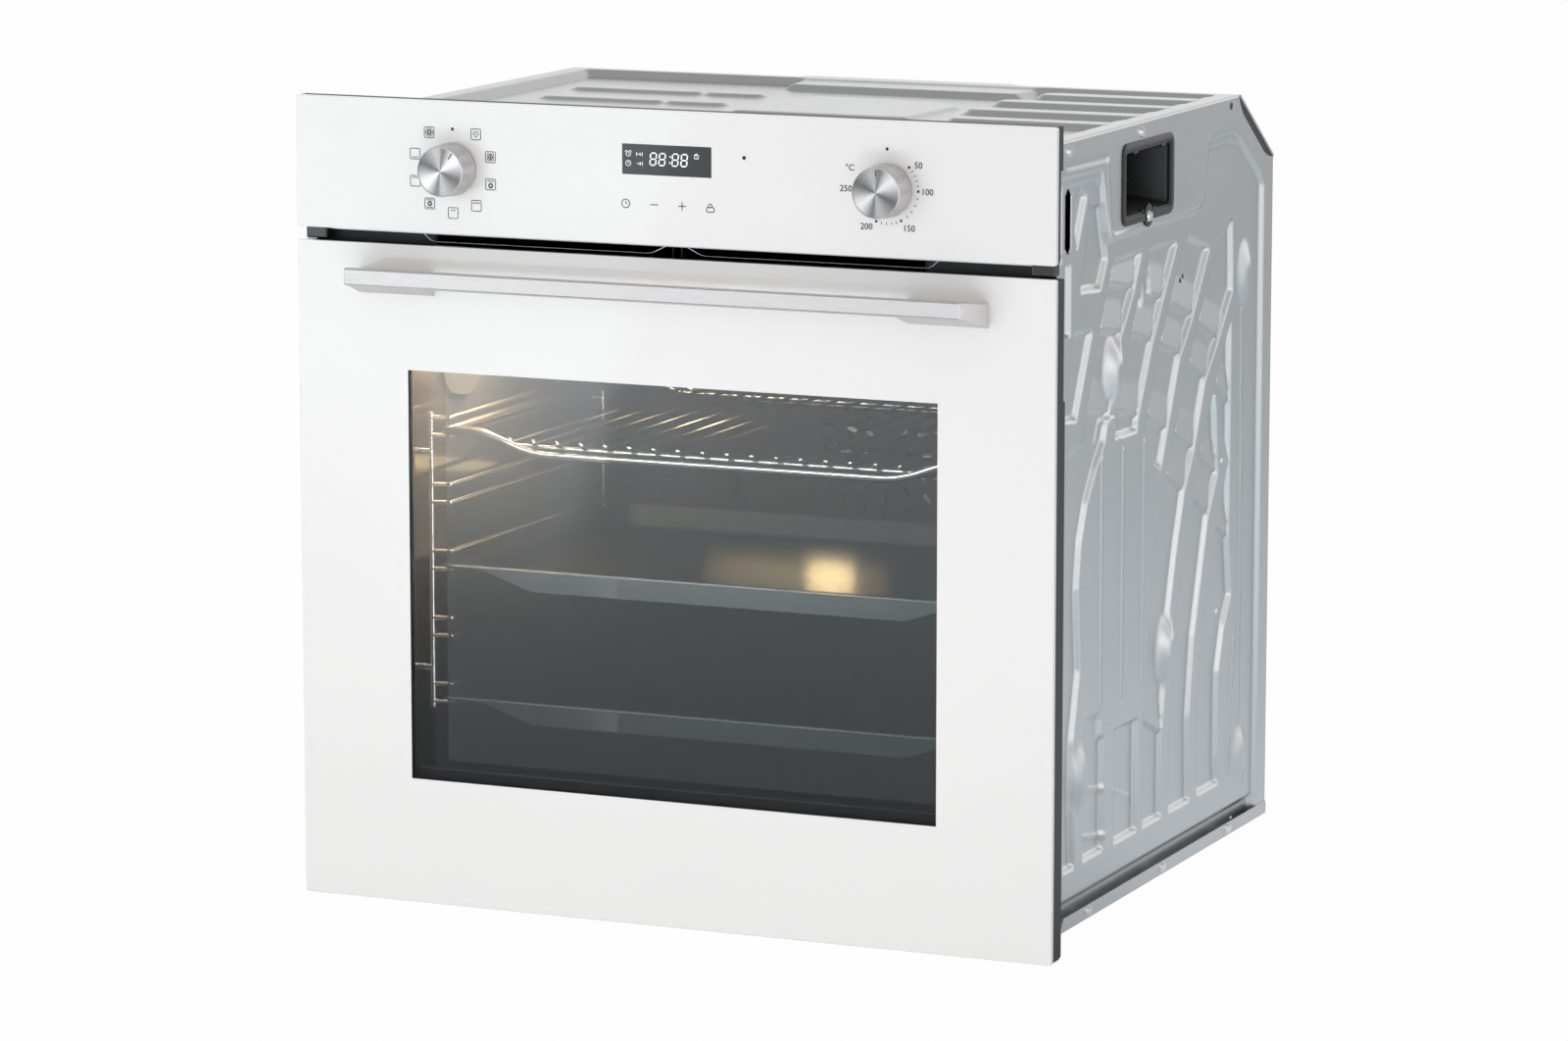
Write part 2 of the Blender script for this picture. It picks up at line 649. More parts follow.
class StageSettings(bpy.types.PropertyGroup):
    ground: length("Ground", "Height of the floor", -0.0005)
    whiteness: number("Whiteness", "Share of plain white in the floor as the camera sees it", 0.972, min=0.0, max=1.0)
    floor_shine: number("Floor shine", "Brightness of the far floor as gloss shows it", 1.15)
    beside: number("Beside", "Brightness of the floor beside the oven as gloss shows it", 0.34)
    card: number("Card", "Brightness of the slanted light patch as gloss shows it", 0.85)
    flank: number("Flank", "Brightness of the floor beside the right side as gloss shows it", 0.42)
    sky: number("Sky", "Strength of the light from all round", 0.50)
    overhead: number("Overhead", "How much brighter the sky is overhead", 0.14)
    ahead: number("Ahead", "How much brighter the sky is in front", 0.05)
    shine: number("Shine", "Strength of the surround as gloss shows it", 1.75)
    dusk: number("Dusk", "Brightness of the surround overhead as gloss shows it", 0.42)
    key: number("Key lamp", "Power of the lamp in front on the left", 40.0)
    side: number("Side lamp", "Power of the lamp on the right", 9.0)
    top: number("Top lamp", "Power of the lamp overhead", 20.0)
    bounce: number("Foot lamp", "Power of the low wide lamp in front of the door", 3.6)
    glow: number("Oven lamp", "Power of the lamp inside the oven", 10.5)
    fill: number("Cavity fill", "Power of the light strip at the mouth of the cavity", 3.4)
    glint: number("Glint", "Power of the small lamp that the tray floor mirrors", 0.022)
    turn: number("Turn", "Camera angle round the oven from its front, in degrees", 23.54)
    rise: number("Rise", "Camera angle over the horizon, in degrees", 9.56)
    distance: length("Distance", "Camera distance", 4.6456)
    lens: number("Lens", "Focal length in millimetres", 140.74)
    target: FloatVectorProperty(name="Target", description="Point that the camera looks at",
                                default=(-0.0177, 0.013, 0.2600), subtype="XYZ", unit="LENGTH")


class MarksSettings(bpy.types.PropertyGroup):
    ink: colour("Ink", "Colour of the printed marks", (0.016, 0.016, 0.018))
    icon_radius: length("Mark circle", "Radius of the circle of marks round the selector", 0.0320)
    icon_scale: number("Mark scale", "Size of the marks round the selector", 1.0)
    tick_radius: length("Tick circle", "Radius of the circle of temperature ticks", 0.0237)
    stroke: length("Stroke", "Width of the printed lines", 0.00056)
    number_height: length("Number height", "Height of the temperature numbers", 0.0044)


# ---------- stage ----------

WHITE = (1.0, 1.0, 1.0)
AMBER = (1.0, 0.70, 0.34)
# Rays that don't see the small lamps that only a mirror should show
MIRRORED_ONLY = ("camera", "transmission", "diffuse")


class OVEN_OT_stage(bpy.types.Operator):
    """Pale floor, soft studio lamps, the warm lamp of the oven and the camera"""
    bl_idname = "oven.stage"
    bl_label = "Stage"

    def execute(self, context):
        s = context.scene.oven_stage
        scene = context.scene
        scene.view_settings.view_transform = "Standard"
        floor = self.floor(s)
        self.world(scene, s)
        self.lamp("key lamp", s.key, (-2.2, -4.4, 1.2), (2.8, 2.8), aim=(0.0, 0.0, 0.0), unseen=("glossy",))
        self.lamp("side lamp", s.side, (4.2, -0.3, 0.9), (2.3, 2.3), aim=(0.2, 0.0, 0.3))
        self.lamp("top lamp", s.top, (0.3, 0.9, 3.4), (2.4, 2.4), aim=(0.0, 0.1, 0.5), unseen=("glossy",))
        self.oven_lamp(s)
        glint = laid((-44.0, 404.0, 258.5))
        self.lamp("basin glint", s.glint, glint, (0.044, 0.013), "ELLIPSE", turn=(-78.0, 0.0), tint=AMBER,
                  unseen=MIRRORED_ONLY)
        self.lamp("rack glint", 0.5, laid((-100.0, 26.0, 250.0)), (0.012, 0.30), "RECTANGLE", turn=(90.0, 70.0),
                  unseen=MIRRORED_ONLY)
        self.lamp("basin streak", 0.6 * s.glint, glint + (-0.030, 0.001, 0.0), (0.16, 0.012), "ELLIPSE",
                  turn=(-78.0, 0.0), tint=AMBER, unseen=MIRRORED_ONLY)
        self.lamp("foot lamp", s.bounce, (0.0, -1.20, 0.08), (1.4, 0.12), "RECTANGLE", aim=(0.0, 0.0, 0.08),
                  unseen=("camera", "glossy", "transmission"))
        self.lamp("cavity fill", s.fill, laid((0.0, 34.0, 395.0)), (0.34, 0.012), "RECTANGLE", turn=(38.0, 0.0),
                  tint=(1.0, 0.95, 0.88))
        self.camera(scene, s)
        return {"FINISHED"}

    def lamp(self, name, watts, place, size, shape="SQUARE", aim=None, turn=None, tint=WHITE, unseen=()):
        """Area lamp that faces an aim, or is turned by degrees about x and then z; some rays may not see it."""
        light = bpy.data.lights.new(name, "AREA")
        light.energy, light.shape, light.color = watts, shape, tint
        light.size, light.size_y = size
        lamp = bpy.data.objects.new(name, light)
        lamp.location = Vector(place)
        if aim:
            lamp.rotation_euler = (Vector(aim) - Vector(place)).to_track_quat("-Z", "Y").to_euler()
        else:
            lamp.rotation_euler = (math.radians(turn[0]), 0.0, math.radians(turn[1]))
        for ray in unseen:
            setattr(lamp, "visible_" + ray, False)
        bpy.context.scene.collection.objects.link(lamp)

    def oven_lamp(self, s):
        """Small warm lamp just inside the glass dome on the cavity's side."""
        light = bpy.data.lights.new("oven lamp glow", "POINT")
        light.energy, light.color, light.shadow_soft_size = s.glow, (1.0, 0.66, 0.36), 0.018
        low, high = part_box("lamp_glass")
        inward = low.x - 0.034 if low.x > 0 else high.x + 0.034
        lamp = bpy.data.objects.new("oven lamp glow", light)
        lamp.location = (inward, (low.y + high.y) / 2 + 0.01, high.z - 0.014)
        bpy.context.scene.collection.objects.link(lamp)

    def floor(self, s):
        """Square floor: white to the camera, and to gloss a light that depends on the place it comes from."""
        reach = 16.0
        corners = [(x * reach, y * reach, s.ground) for x, y in ((-1, -1), (1, -1), (1, 1), (-1, 1))]
        mesh = mesh_of("floor", corners, [[0, 1, 2, 3]])
        material = bpy.data.materials.new("pale floor")
        material.use_nodes = True
        tree = material.node_tree
        shader = tree.nodes["Principled BSDF"]
        feed(shader, {"Base Color": (0.82, 0.82, 0.82, 1.0), "Roughness": 0.9, "Specular IOR Level": 0.0})
        x, y, _ = axes(tree, spot(tree))
        ahead = y * -1.0
        # gloss sees a floor that brightens with distance in front, less so toward the right
        slant = x + ahead * 0.4260
        far = ahead.span(1.6, 2.9, 0.0, 0.55) * slant.span(0.02, 0.30, 1.0, 0.45)
        level = (ahead.span(0.6, 1.6, 0.42, 0.70) + far) * s.floor_shine
        level = level + (ahead.span(0.25, -0.15, 0.0, s.beside) + ahead.span(-0.40, -3.30, 0.0, -0.34))
        # a brighter patch straight out from the right side, and one left of a slanted line
        level = level + (x * 0.9 + ahead).span(0.30, 1.30, 0.0, s.flank) * x.span(0.35, 0.75, 0.0, 1.0)
        level = level + slant.span(-0.03, -0.07, 0.0, 1.0) * ahead.span(1.3, 2.8, 0.0, s.card)
        seen, glossy, through = rays(tree, "Camera", "Glossy", "Transmission")
        gloss = glossy.greater(through)
        cool = node(tree, "Mix", data_type="RGBA")
        feed(cool, {"A": (*WHITE, 1.0), "B": (0.88, 0.95, 1.0, 1.0), "Factor": gloss})
        lit = node(tree, "Emission", {"Color": Value(cool.outputs["Result"]),
                                      "Strength": gloss * level + (1.0 - gloss)})
        blend = node(tree, "MixShader", {0: (seen * s.whiteness).greater(gloss), 1: Value(shader.outputs[0]),
                                         2: Value(lit.outputs[0])})
        feed(tree.nodes["Material Output"], {0: Value(blend.outputs[0])})
        floor = bpy.data.objects.new("floor", mesh)
        bpy.context.scene.collection.objects.link(floor)
        mesh.materials.append(material)
        return floor

    def world(self, scene, s):
        """White to the camera; for light, brighter overhead and in front, and for gloss a surround of its own."""
        world = scene.world or bpy.data.worlds.new("studio")
        scene.world = world
        world.use_nodes = True
        tree = world.node_tree
        x, y, z = axes(tree, spot(tree, "Generated"))
        level = (z * s.overhead + y * -s.ahead + s.sky).greater(0.08)
        # gloss sees a surround that is dim overhead and brighter straight out from the right side and the rear
        flank = x.span(0.25, 0.95, 0.0, 0.20) + y.span(0.55, 0.95, 0.0, 0.34)
        mirrored = (level + flank) * z.span(0.12, 0.62, 1.0, s.dusk) * s.shine
        seen, glossy, through = rays(tree, "Camera", "Glossy", "Transmission")
        level = level * (1.0 - glossy) + mirrored * glossy
        feed(tree.nodes["Background"], {"Color": (*WHITE, 1.0), "Strength": seen.greater(through).greater(level)})

    def camera(self, scene, s):
        """Camera that looks at its target from a turn and a rise, at a distance."""
        data = bpy.data.cameras.new("camera")
        data.lens = s.lens
        data.clip_end = 60.0
        camera = bpy.data.objects.new("camera", data)
        turn, rise = math.radians(s.turn), math.radians(s.rise)
        away_from = Vector((math.sin(turn) * math.cos(rise), -math.cos(turn) * math.cos(rise), math.sin(rise)))
        camera.location = Vector(s.target) + away_from * s.distance
        camera.rotation_euler = (-away_from).to_track_quat("-Z", "Y").to_euler()
        scene.collection.objects.link(camera)
        scene.camera = camera


# ---------- casing ----------

# Outlines of the pads in a side sheet, as (depth behind the glass, height) in millimetres
SIDE_PADS = [
    [(93, 437), (129, 435), (99, 376), (78, 378)],
    [(124, 527), (146, 524), (159, 485), (146, 465), (107, 468), (118, 494)],
    [(98, 500), (116, 535), (104, 540), (90, 530)],
    [(173, 481), (229, 481), (215, 456), (198, 436), (188, 425), (165, 371), (157, 352), (140, 335), (122, 312),
     (110, 285), (105, 251), (110, 192), (102, 160), (97, 141), (97, 90), (101, 49), (80, 49), (80, 352), (112, 352),
     (121, 377), (145, 432), (163, 464)],
    [(248, 481), (306, 480), (276, 441), (255, 412), (225, 359), (225, 351), (180, 352), (184, 369), (211, 422)],
    [(322, 476), (332, 481), (377, 468), (341, 420), (315, 394), (289, 342), (276, 316), (262, 322), (243, 350),
     (246, 355), (272, 406), (293, 435)],
    [(429, 483), (431, 445), (431, 430), (399, 395), (372, 369), (348, 319), (328, 290), (311, 246), (298, 203),
     (290, 148), (284, 112), (284, 50), (245, 50), (245, 128), (252, 162), (262, 240), (282, 292), (289, 305),
     (306, 334), (335, 383), (355, 412), (388, 455)],
    [(429, 405), (429, 238), (436, 194), (421, 172), (409, 138), (409, 70), (412, 51), (365, 51), (362, 115),
     (370, 172), (384, 208), (404, 251), (429, 300), (395, 359)],
    [(402, 293), (381, 262), (364, 209), (353, 175), (344, 115), (347, 50), (302, 50), (302, 112), (308, 148),
     (316, 203), (330, 246), (352, 279), (361, 310), (395, 359)],
    [(120, 134), (160, 134), (160, 50), (120, 50)],
    [(184, 134), (231, 134), (231, 50), (184, 50)],
]
# Steps across the pads, each a line from (depth, height) to (depth, height)
SIDE_STEPS = [
    ((163, 464), (213, 456)), ((145, 432), (188, 426)), ((121, 377), (165, 371)), ((257, 445), (276, 441)),
    ((211, 422), (253, 412)), ((184, 369), (227, 359)), ((293, 435), (341, 420)), ((272, 406), (315, 394)),
    ((246, 355), (289, 342)), ((355, 412), (402, 395)), ((335, 383), (372, 369)), ((306, 334), (348, 319)),
    ((289, 305), (328, 290)), ((395, 359), (429, 342)), ((361, 310), (399, 293)), ((352, 279), (384, 262)),
    ((404, 251), (429, 238)), ((245, 128), (284, 112)),
]
# Small domes that come back up to the border, as (depth, height, half width, half height)
SIDE_DOMES = [(177, 399, 15, 24), (457, 439, 14, 22), (295, 175, 14, 23), (457, 63, 14, 22), (112, 113, 14, 23)]
# Thin raised lines between the pads
SIDE_BEADS = [
    [(152, 340), (152, 157)], [(196, 340), (196, 157)], [(240, 340), (240, 157)], [(443, 157), (431, 55)],
    [(144, 352), (152, 366), (175, 366), (188, 352)], [(452, 412), (456, 250), (455, 91)],
    [(120.5, 101.9), (160.3, 94.7)], [(120.5, 65.9), (165.6, 59.3)], [(179, 90), (222.6, 77)],
]
# Small holes and rivets in a side sheet, as (depth, height, radius)
SIDE_HOLES = [(64.4, 452.4, 2.0), (64.4, 446, 1.6), (322.5, 448.8, 2.4), (329, 451.8, 2.0), (238, 449, 2.6),
              (414, 571.6, 3.0)]
SIDE_RIVETS = [(410, 301, 2.4), (412, 184, 2.4), (72, 570.8, 3.0), (219, 570.3, 3.0), (452, 13.7, 2.2)]


def slope_line():
    """Ends of the sloping rear edge of the casing, as (depth, height) in millimetres."""
    top, rear, cover = in_mm("top_panel")[1], in_mm("side_panel_right")[1], in_mm("rear_slope_cover")[0]
    return np.array([top[1:], (rear[1], cover[2])])


def side_relief(y, z, s):
    """Depth in millimetres of a side sheet under its outer border, over depth y and height z.

    Border at 0; the field lies one sink lower; the front and foot borders lie one more;
    pads lie one pad sink under the field, with walls of one width; domes and beads rise again.
    """
    wall, field, pad = s.wall / MM, s.field_sink / MM, s.pad_sink / MM
    # the field's outline, which goes down in two steps along its upper edge
    outline = [(0, 553), (140, 551), (152, 505), (158, 497), (236, 500), (344, 499), (353, 504), (360, 512),
               (367, 550), (420, 552), (434, 547), (482, 515), (491, 505), (491, 0), (0, 0)]
    within = inside(y, z, outline)
    single = eased(within / wall + 0.5)
    double = 0.5 * (single + eased((within - 6.5) / wall + 0.5))
    sink = field * (single + (double - single) * eased((z - 536) / 10))
    front = np.where((z > 438) & (z < 489), 85.0, 66.0)
    lower = np.maximum(eased((front - y) / wall + 0.5), eased((26.0 - z) / wall + 0.5))
    sink = sink + field * lower * (z < 548) * eased((491 - y) / wall)
    deep = np.zeros_like(sink)
    for corners in SIDE_PADS:
        deep = np.maximum(deep, pressed(y, z, corners, wall))
    scoop = inside(y, z, [(121, 160), (121, 120), (159, 120), (159, 160)])
    deep = np.maximum(deep, eased(scoop / 8.0) * (z > 120) * eased((160 - z) / 14.0))
    # each step is a sharp edge across a pad, from which the floor slopes back
    rise, run, overlap, edge = 0.8, 26, 6, 2.4
    for start, end in np.array(SIDE_STEPS, float):
        length = np.hypot(*(end - start))
        ey, ez = (end - start) / length
        t = (y - start[0]) * ey + (z - start[1]) * ez
        across = (z - start[1]) * ey - (y - start[0]) * ez
        saw = np.where((across > 0) & (across < run), 1 - across / run, 0.0) * (t > -overlap) * (t < length + overlap)
        deep = deep - rise * saw * eased(across / edge) * (deep > 0.9)
    sink = sink + pad * deep
    proud = 1.5
    for cy, cz, half_y, half_z in SIDE_DOMES:
        r = np.hypot((y - cy) / half_y, (z - cz) / half_z)
        sink = sink * (1 - eased(1.25 - r)) - proud * np.clip(1 - r * r / 1.6, 0, 1)
    for line in SIDE_BEADS:
        sink = sink - 1.3 * ridge(y, z, line, 3.2)
    pocket = [(150, 556), (158, 504), (164, 500), (217, 498), (236, 500), (344, 499), (354, 505), (361, 514),
              (367, 550)]
    sink = sink - 1.0 * ridge(y, z, pocket, 3.0) + 0.5 * ridge(y, z, [(69, 560), (149, 559)], 3.0)
    sink = sink + 1.6 * eased((9 - np.hypot(y - 238, z - 449)) / 5)
    return np.maximum(sink, -proud)


def rear_relief(x, z, s, terminal, fan):
    """Depth in millimetres of the rear sheet under its border.

    The field lies one sink lower; two tall pads and two bars lie deeper; the parts round the connection
    box and round the slots come back to the border, and three ribs cross each pad.
    """
    wall = s.wall / MM
    field = [(-262, 24), (-262, 494), (-246, 510), (246, 510), (262, 494), (262, 24)]
    sink = s.field_sink / MM * pressed(x, z, field, wall)
    deep = np.zeros_like(sink)
    for side in SIDES:
        pad = [(155, 80), (155, 345), (167, 357), (233, 357), (245, 345), (245, 80)]
        deep = np.maximum(deep, pressed(side * x, z, pad, wall))
        for height in (140, 218, 296):
            deep = deep * (1 - 0.9 * band(side * x, z, [(152, height), (248, height)], 12, wall))
    for height in (100, 400):
        deep = np.maximum(deep, 0.8 * band(x, z, [(-105, height), (105, height)], 26, wall))
    sink = sink + s.pad_sink / MM * 0.8 * deep
    for (x0, x1), (z0, z1), edge in ((*terminal, 9), ((-78, 78), (fan - 44, fan + 44), 8)):
        corners = [(x0 - edge, z0 - edge), (x0 - edge, z1 + edge), (x1 + edge, z1 + edge), (x1 + edge, z0 - edge)]
        sink = sink * (1 - pressed(x, z, corners, wall))
    return sink


# Raised bars of the top: starts and ends of the straight ones as (x, depth), width, rise and wall
TOP_BARS = [
    *[((start, y), (278, y), 26, 4.5, 4.0) for y, start in ((208, 146), (273, 134), (338, 132), (398, 143))],
    *[((start, y), (-128, y), 17, 2.6, 2.8) for y, start in ((255, -212), (327, -220))],
    *[((-108, y), (-76, y), 17, 2.6, 2.8) for y in (255, 327)],
    *[((start, 186), (end, 186), 7, 3.0, 3.0) for start, end in ((22, 48), (170, 182), (-114, -99))],
]


def top_relief(x, y, half, back):
    """Depth in millimetres of the top under its raised flanges.

    The field lies 6 mm down; flanges at both sides and the rear stand at 0; bars, the middle plateau and the
    front of the rear housing rise from the field.
    """
    wall = 4.0
    flange = np.maximum(eased((np.abs(x) - (half - 18)) / wall + 0.5), eased((y - (back - 12)) / wall + 0.5))
    plateau = [(-42, 205), (-46, 303), (-22, 332), (76, 328), (104, 299), (100, 205)]
    housing = [(-74, 386), (118, 382), (122, 440), (-80, 440)]
    rise = np.maximum(2.6 * pressed(x, y, plateau, 5.0), 4.6 * pressed(x, y, housing, wall))
    for start, end, width, high, slope in TOP_BARS:
        rise = np.maximum(rise, high * band(x, y, [start, end], width, slope))
    return softened(np.maximum(6.0 * (1 - flange) - rise, 0.0))


class OVEN_OT_casing(bpy.types.Operator):
    """Pressed steel sides, top, rear and sloped rear cover"""
    bl_idname = "oven.casing"
    bl_label = "Casing"

    def execute(self, context):
        s = context.scene.oven_casing
        steel = sheet_steel(s)
        self.sides(s, steel)
        self.top(s, steel)
        self.rear_cover(s, steel)
        self.rear(s, steel)
        paint(steel, "base_pan", "panel_bracket", "blower_housing")
        return {"FINISHED"}

    def sheet(self, s, name, node, steel, points, cut=None, flip=False):
        """Sheet drawn by its outer face, a grid of points; a cut sheet gets walls only along its edges."""
        quads = grid_quads(*points.shape[:2])
        if cut:
            quads = quads[~cut(*np.moveaxis(points.reshape(-1, 3)[quads].mean(1), -1, 0))]
        mesh = mesh_of(name, laid(points), quads[:, ::-1] if flip else quads)
        if cut:
            tidy_mesh(mesh, 1e-7, recalc=False)
        piece = set_out(name, mesh, steel, "oven_body", [node], sharp=60)
        wall = piece.modifiers.new("sheet thickness", "SOLIDIFY")
        wall.thickness, wall.offset, wall.use_rim_only = s.sheet, -1.0, bool(cut)

    def sides(self, s, steel):
        """Height field over (depth, height): x = side face minus relief, cut by the grip and the slot."""
        (_, front, foot), (face, back, top) = in_mm("side_panel_right")
        grip_low, grip_high = in_mm("grip_pocket_right")
        flange = 6.4
        grip_y, grip_z = [(grip_low[i] + flange, grip_high[i] - flange) for i in (1, 2)]
        slot_y, slot_z = (73.5, 85.5), (top - 81.5, top - 35.5)
        (slope_y, _), (_, slope_z) = slope_line()
        kick_y, kick_z = 26.9, 33
        y, z = np.meshgrid(spaced(sorted([front, kick_y, *slot_y, *grip_y, slope_y, back]), s.step / MM),
                           spaced(sorted([foot, kick_z, *slot_z, *grip_z, top]), s.step / MM), indexing="ij")
        # over a bend line the mesh lines are drawn together under the sloping rear edge
        bend = 400
        edge = np.where(y > slope_y, top - (y - slope_y) * (top - slope_z) / (back - slope_y), top)
        z = np.where(z > bend, bend + (z - bend) * (edge - bend) / (top - bend), z)
        sink = side_relief(y, z, s)

        def cut(x, y, z):
            """True in the grip's mouth, in the upright slot and in the notch over the kick plate."""
            grip = (y > grip_y[0]) & (y < grip_y[1]) & (z > grip_z[0]) & (z < grip_z[1])
            off_y, off_z = np.abs(y - np.mean(slot_y)), np.abs(z - np.mean(slot_z))
            return grip | (off_y < 6) & (off_z < 23) & (off_z + off_y < 25) | (y < kick_y) & (z < kick_z)

        for side, tag in ((-1, "left"), (1, "right")):
            points = np.stack([side * (face - sink), y, z], -1)
            self.sheet(s, "pressed_side_" + tag, "side_panel_" + tag, steel, points, cut, flip=side < 0)
            self.side_details(s, side, tag, face)
            self.slope_edge(side, tag, face, steel)

    def side_details(self, s, side, tag, face):
        """Dark round holes and low domed rivet heads of one side, each turned about a line across the sheet."""
        holes, heads = [], []
        for at, height, r in SIDE_HOLES + SIDE_RIVETS:
            x = side * (face - float(side_relief(np.array([[float(at)]]), np.array([[float(height)]]), s)[0, 0]))
            if (at, height, r) in SIDE_HOLES:
                front, back = x + side * 0.12, x - side * 0.5
                profile = [(0.0, front), (r, front), (r, back), (0.0, back)]
                holes.append(lathe(profile, (0.0, at, height), 16, "x"))
            else:
                t = np.linspace(0, QUARTER, 6)
                dome = np.stack([r * np.sin(t), x + side * 1.1 * np.cos(t)], -1)
                profile = np.concatenate([dome, [(r, x - side * 0.4), (0.0, x - side * 0.4)]])
                heads.append(lathe(profile, (0.0, at, height), 18, "x"))
        solid("side_holes_" + tag, holes, listed("black powder coat"), "oven_body", sharp=40)
        solid("side_rivets_" + tag, heads, listed("bright zinc"), "oven_body", sharp=40)

    def slope_edge(self, side, tag, face, steel):
        """Dark gap, narrower toward its ends, and pale lip along the sloping edge, each a row of square sections."""
        start, end = slope_line()
        length = np.linalg.norm(end - start)
        along = (end - start) / length
        inward = np.array([along[1], -along[0]])
        t = np.linspace(0, 1, 12)[:, None]
        dark = listed("black powder coat")
        for name, near, far, out, ends, material, slot in (
                ("gap", 2.2, 8.0, 0.35, np.minimum(1.0, np.minimum(t, 1 - t) * 7), dark, "black_plastic"),
                ("lip", 0.2, 2.4, 0.7, 1.0, steel, "galvanised_steel")):
            low = start + along * t * length + inward * near
            high = start + along * t * length + inward * (near + (far - near) * ends)
            rows = [np.column_stack([np.full(len(t), side * (face + x)), line])
                    for line, x in ((low, out), (high, out), (high, -0.5), (low, -0.5))]
            solid("chamfer_" + name + "_" + tag, [capped(laid(np.stack(rows, 1)))], material, "oven_body")

    def top(self, s, steel):
        """Height field over (x, depth): z = top minus the sink of the field plus the ribs that rise from it."""
        (_, front, _), (half, back, top) = in_mm("top_panel")
        x, y = np.meshgrid(spaced([-half, 0, half], 2.2), spaced([front, back], 2.2), indexing="ij")
        points = np.stack([x, y, top - top_relief(x, y, half, back)], -1)
        self.sheet(s, "pressed_top", "top_panel", steel, points)

    def rear_cover(self, s, steel):
        """Height field over (x, depth): the higher of the sloping sheet and a housing with a rounded back."""
        (_, front, foot), (half, back, top) = in_mm("rear_slope_cover")
        x, y = np.meshgrid(spaced([-half, half], 3.0), spaced([front, back], 2.0), indexing="ij")
        edge = top - 0.6
        slope = edge - (y - front) * (edge - foot) / (back - front)
        reach, drop, roundness = 50.0, 33.0, 3.2
        t = np.clip((y - front) / reach, 0, 1)
        crown = top - 0.3 - drop * (1 - np.sqrt(np.clip(1 - t ** roundness, 0, 1)))
        ends = eased((x + 102) / 16.0) * eased((104 - x) / 16.0)
        z = softened(slope + np.maximum(crown - slope, 0) * ends * (t < 1))
        points = np.stack([x, y, np.maximum(z, foot + 0.9)], -1)
        self.sheet(s, "rear_cover", "rear_slope_cover", steel, points)

    def rear(self, s, steel):
        """Height field over (x, height): y = rear face minus relief, cut by the connection box and nine slots."""
        (left, _, foot), (right, face, top) = in_mm("rear_panel")
        box_low, box_high = in_mm("terminal_box")
        terminal = [(box_low[i] + 3, box_high[i] - 3) for i in (0, 2)]
        fan = np.mean([corner[2] for corner in in_mm("fan_cover")])
        pitch, half_slot, half_high, count = 14.0, 2.5, 30, 4
        slots = [i * pitch + edge * half_slot for i in range(-count, count + 1) for edge in SIDES]
        x, z = np.meshgrid(spaced([left, *terminal[0], *slots, right], 2.6),
                           spaced([foot, fan - half_high, fan + half_high, *terminal[1], top], 2.6), indexing="ij")

        def cut(x, y, z):
            """True in the opening for the connection box and in the slots."""
            box = (x > terminal[0][0]) & (x < terminal[0][1]) & (z > terminal[1][0]) & (z < terminal[1][1])
            near_slot = np.abs(x - np.round(x / pitch) * pitch) < half_slot
            return box | near_slot & (np.abs(x) < (count + 0.3) * pitch) & (np.abs(z - fan) < half_high)

        points = np.stack([x, face - rear_relief(x, z, s, terminal, fan), z], -1)
        self.sheet(s, "pressed_rear", "rear_panel", steel, points, cut, flip=True)
        profile = [(0.0, face - 0.02), (1.6, face - 0.05), (2.6, face - 0.5), (2.9, face - 1.0), (0.0, face - 1.0)]
        places = [(at, height) for height in (16, 517) for at in (-250, -84, 84, 250)]
        places += [(at, height) for height in (190, 360) for at in (-270, 270)]
        heads = [lathe(profile, (at, 0.0, height), 18) for at, height in places]
        solid("rear_rivets", heads, listed("bright zinc"), "oven_body", sharp=40)


# ---------- front ----------

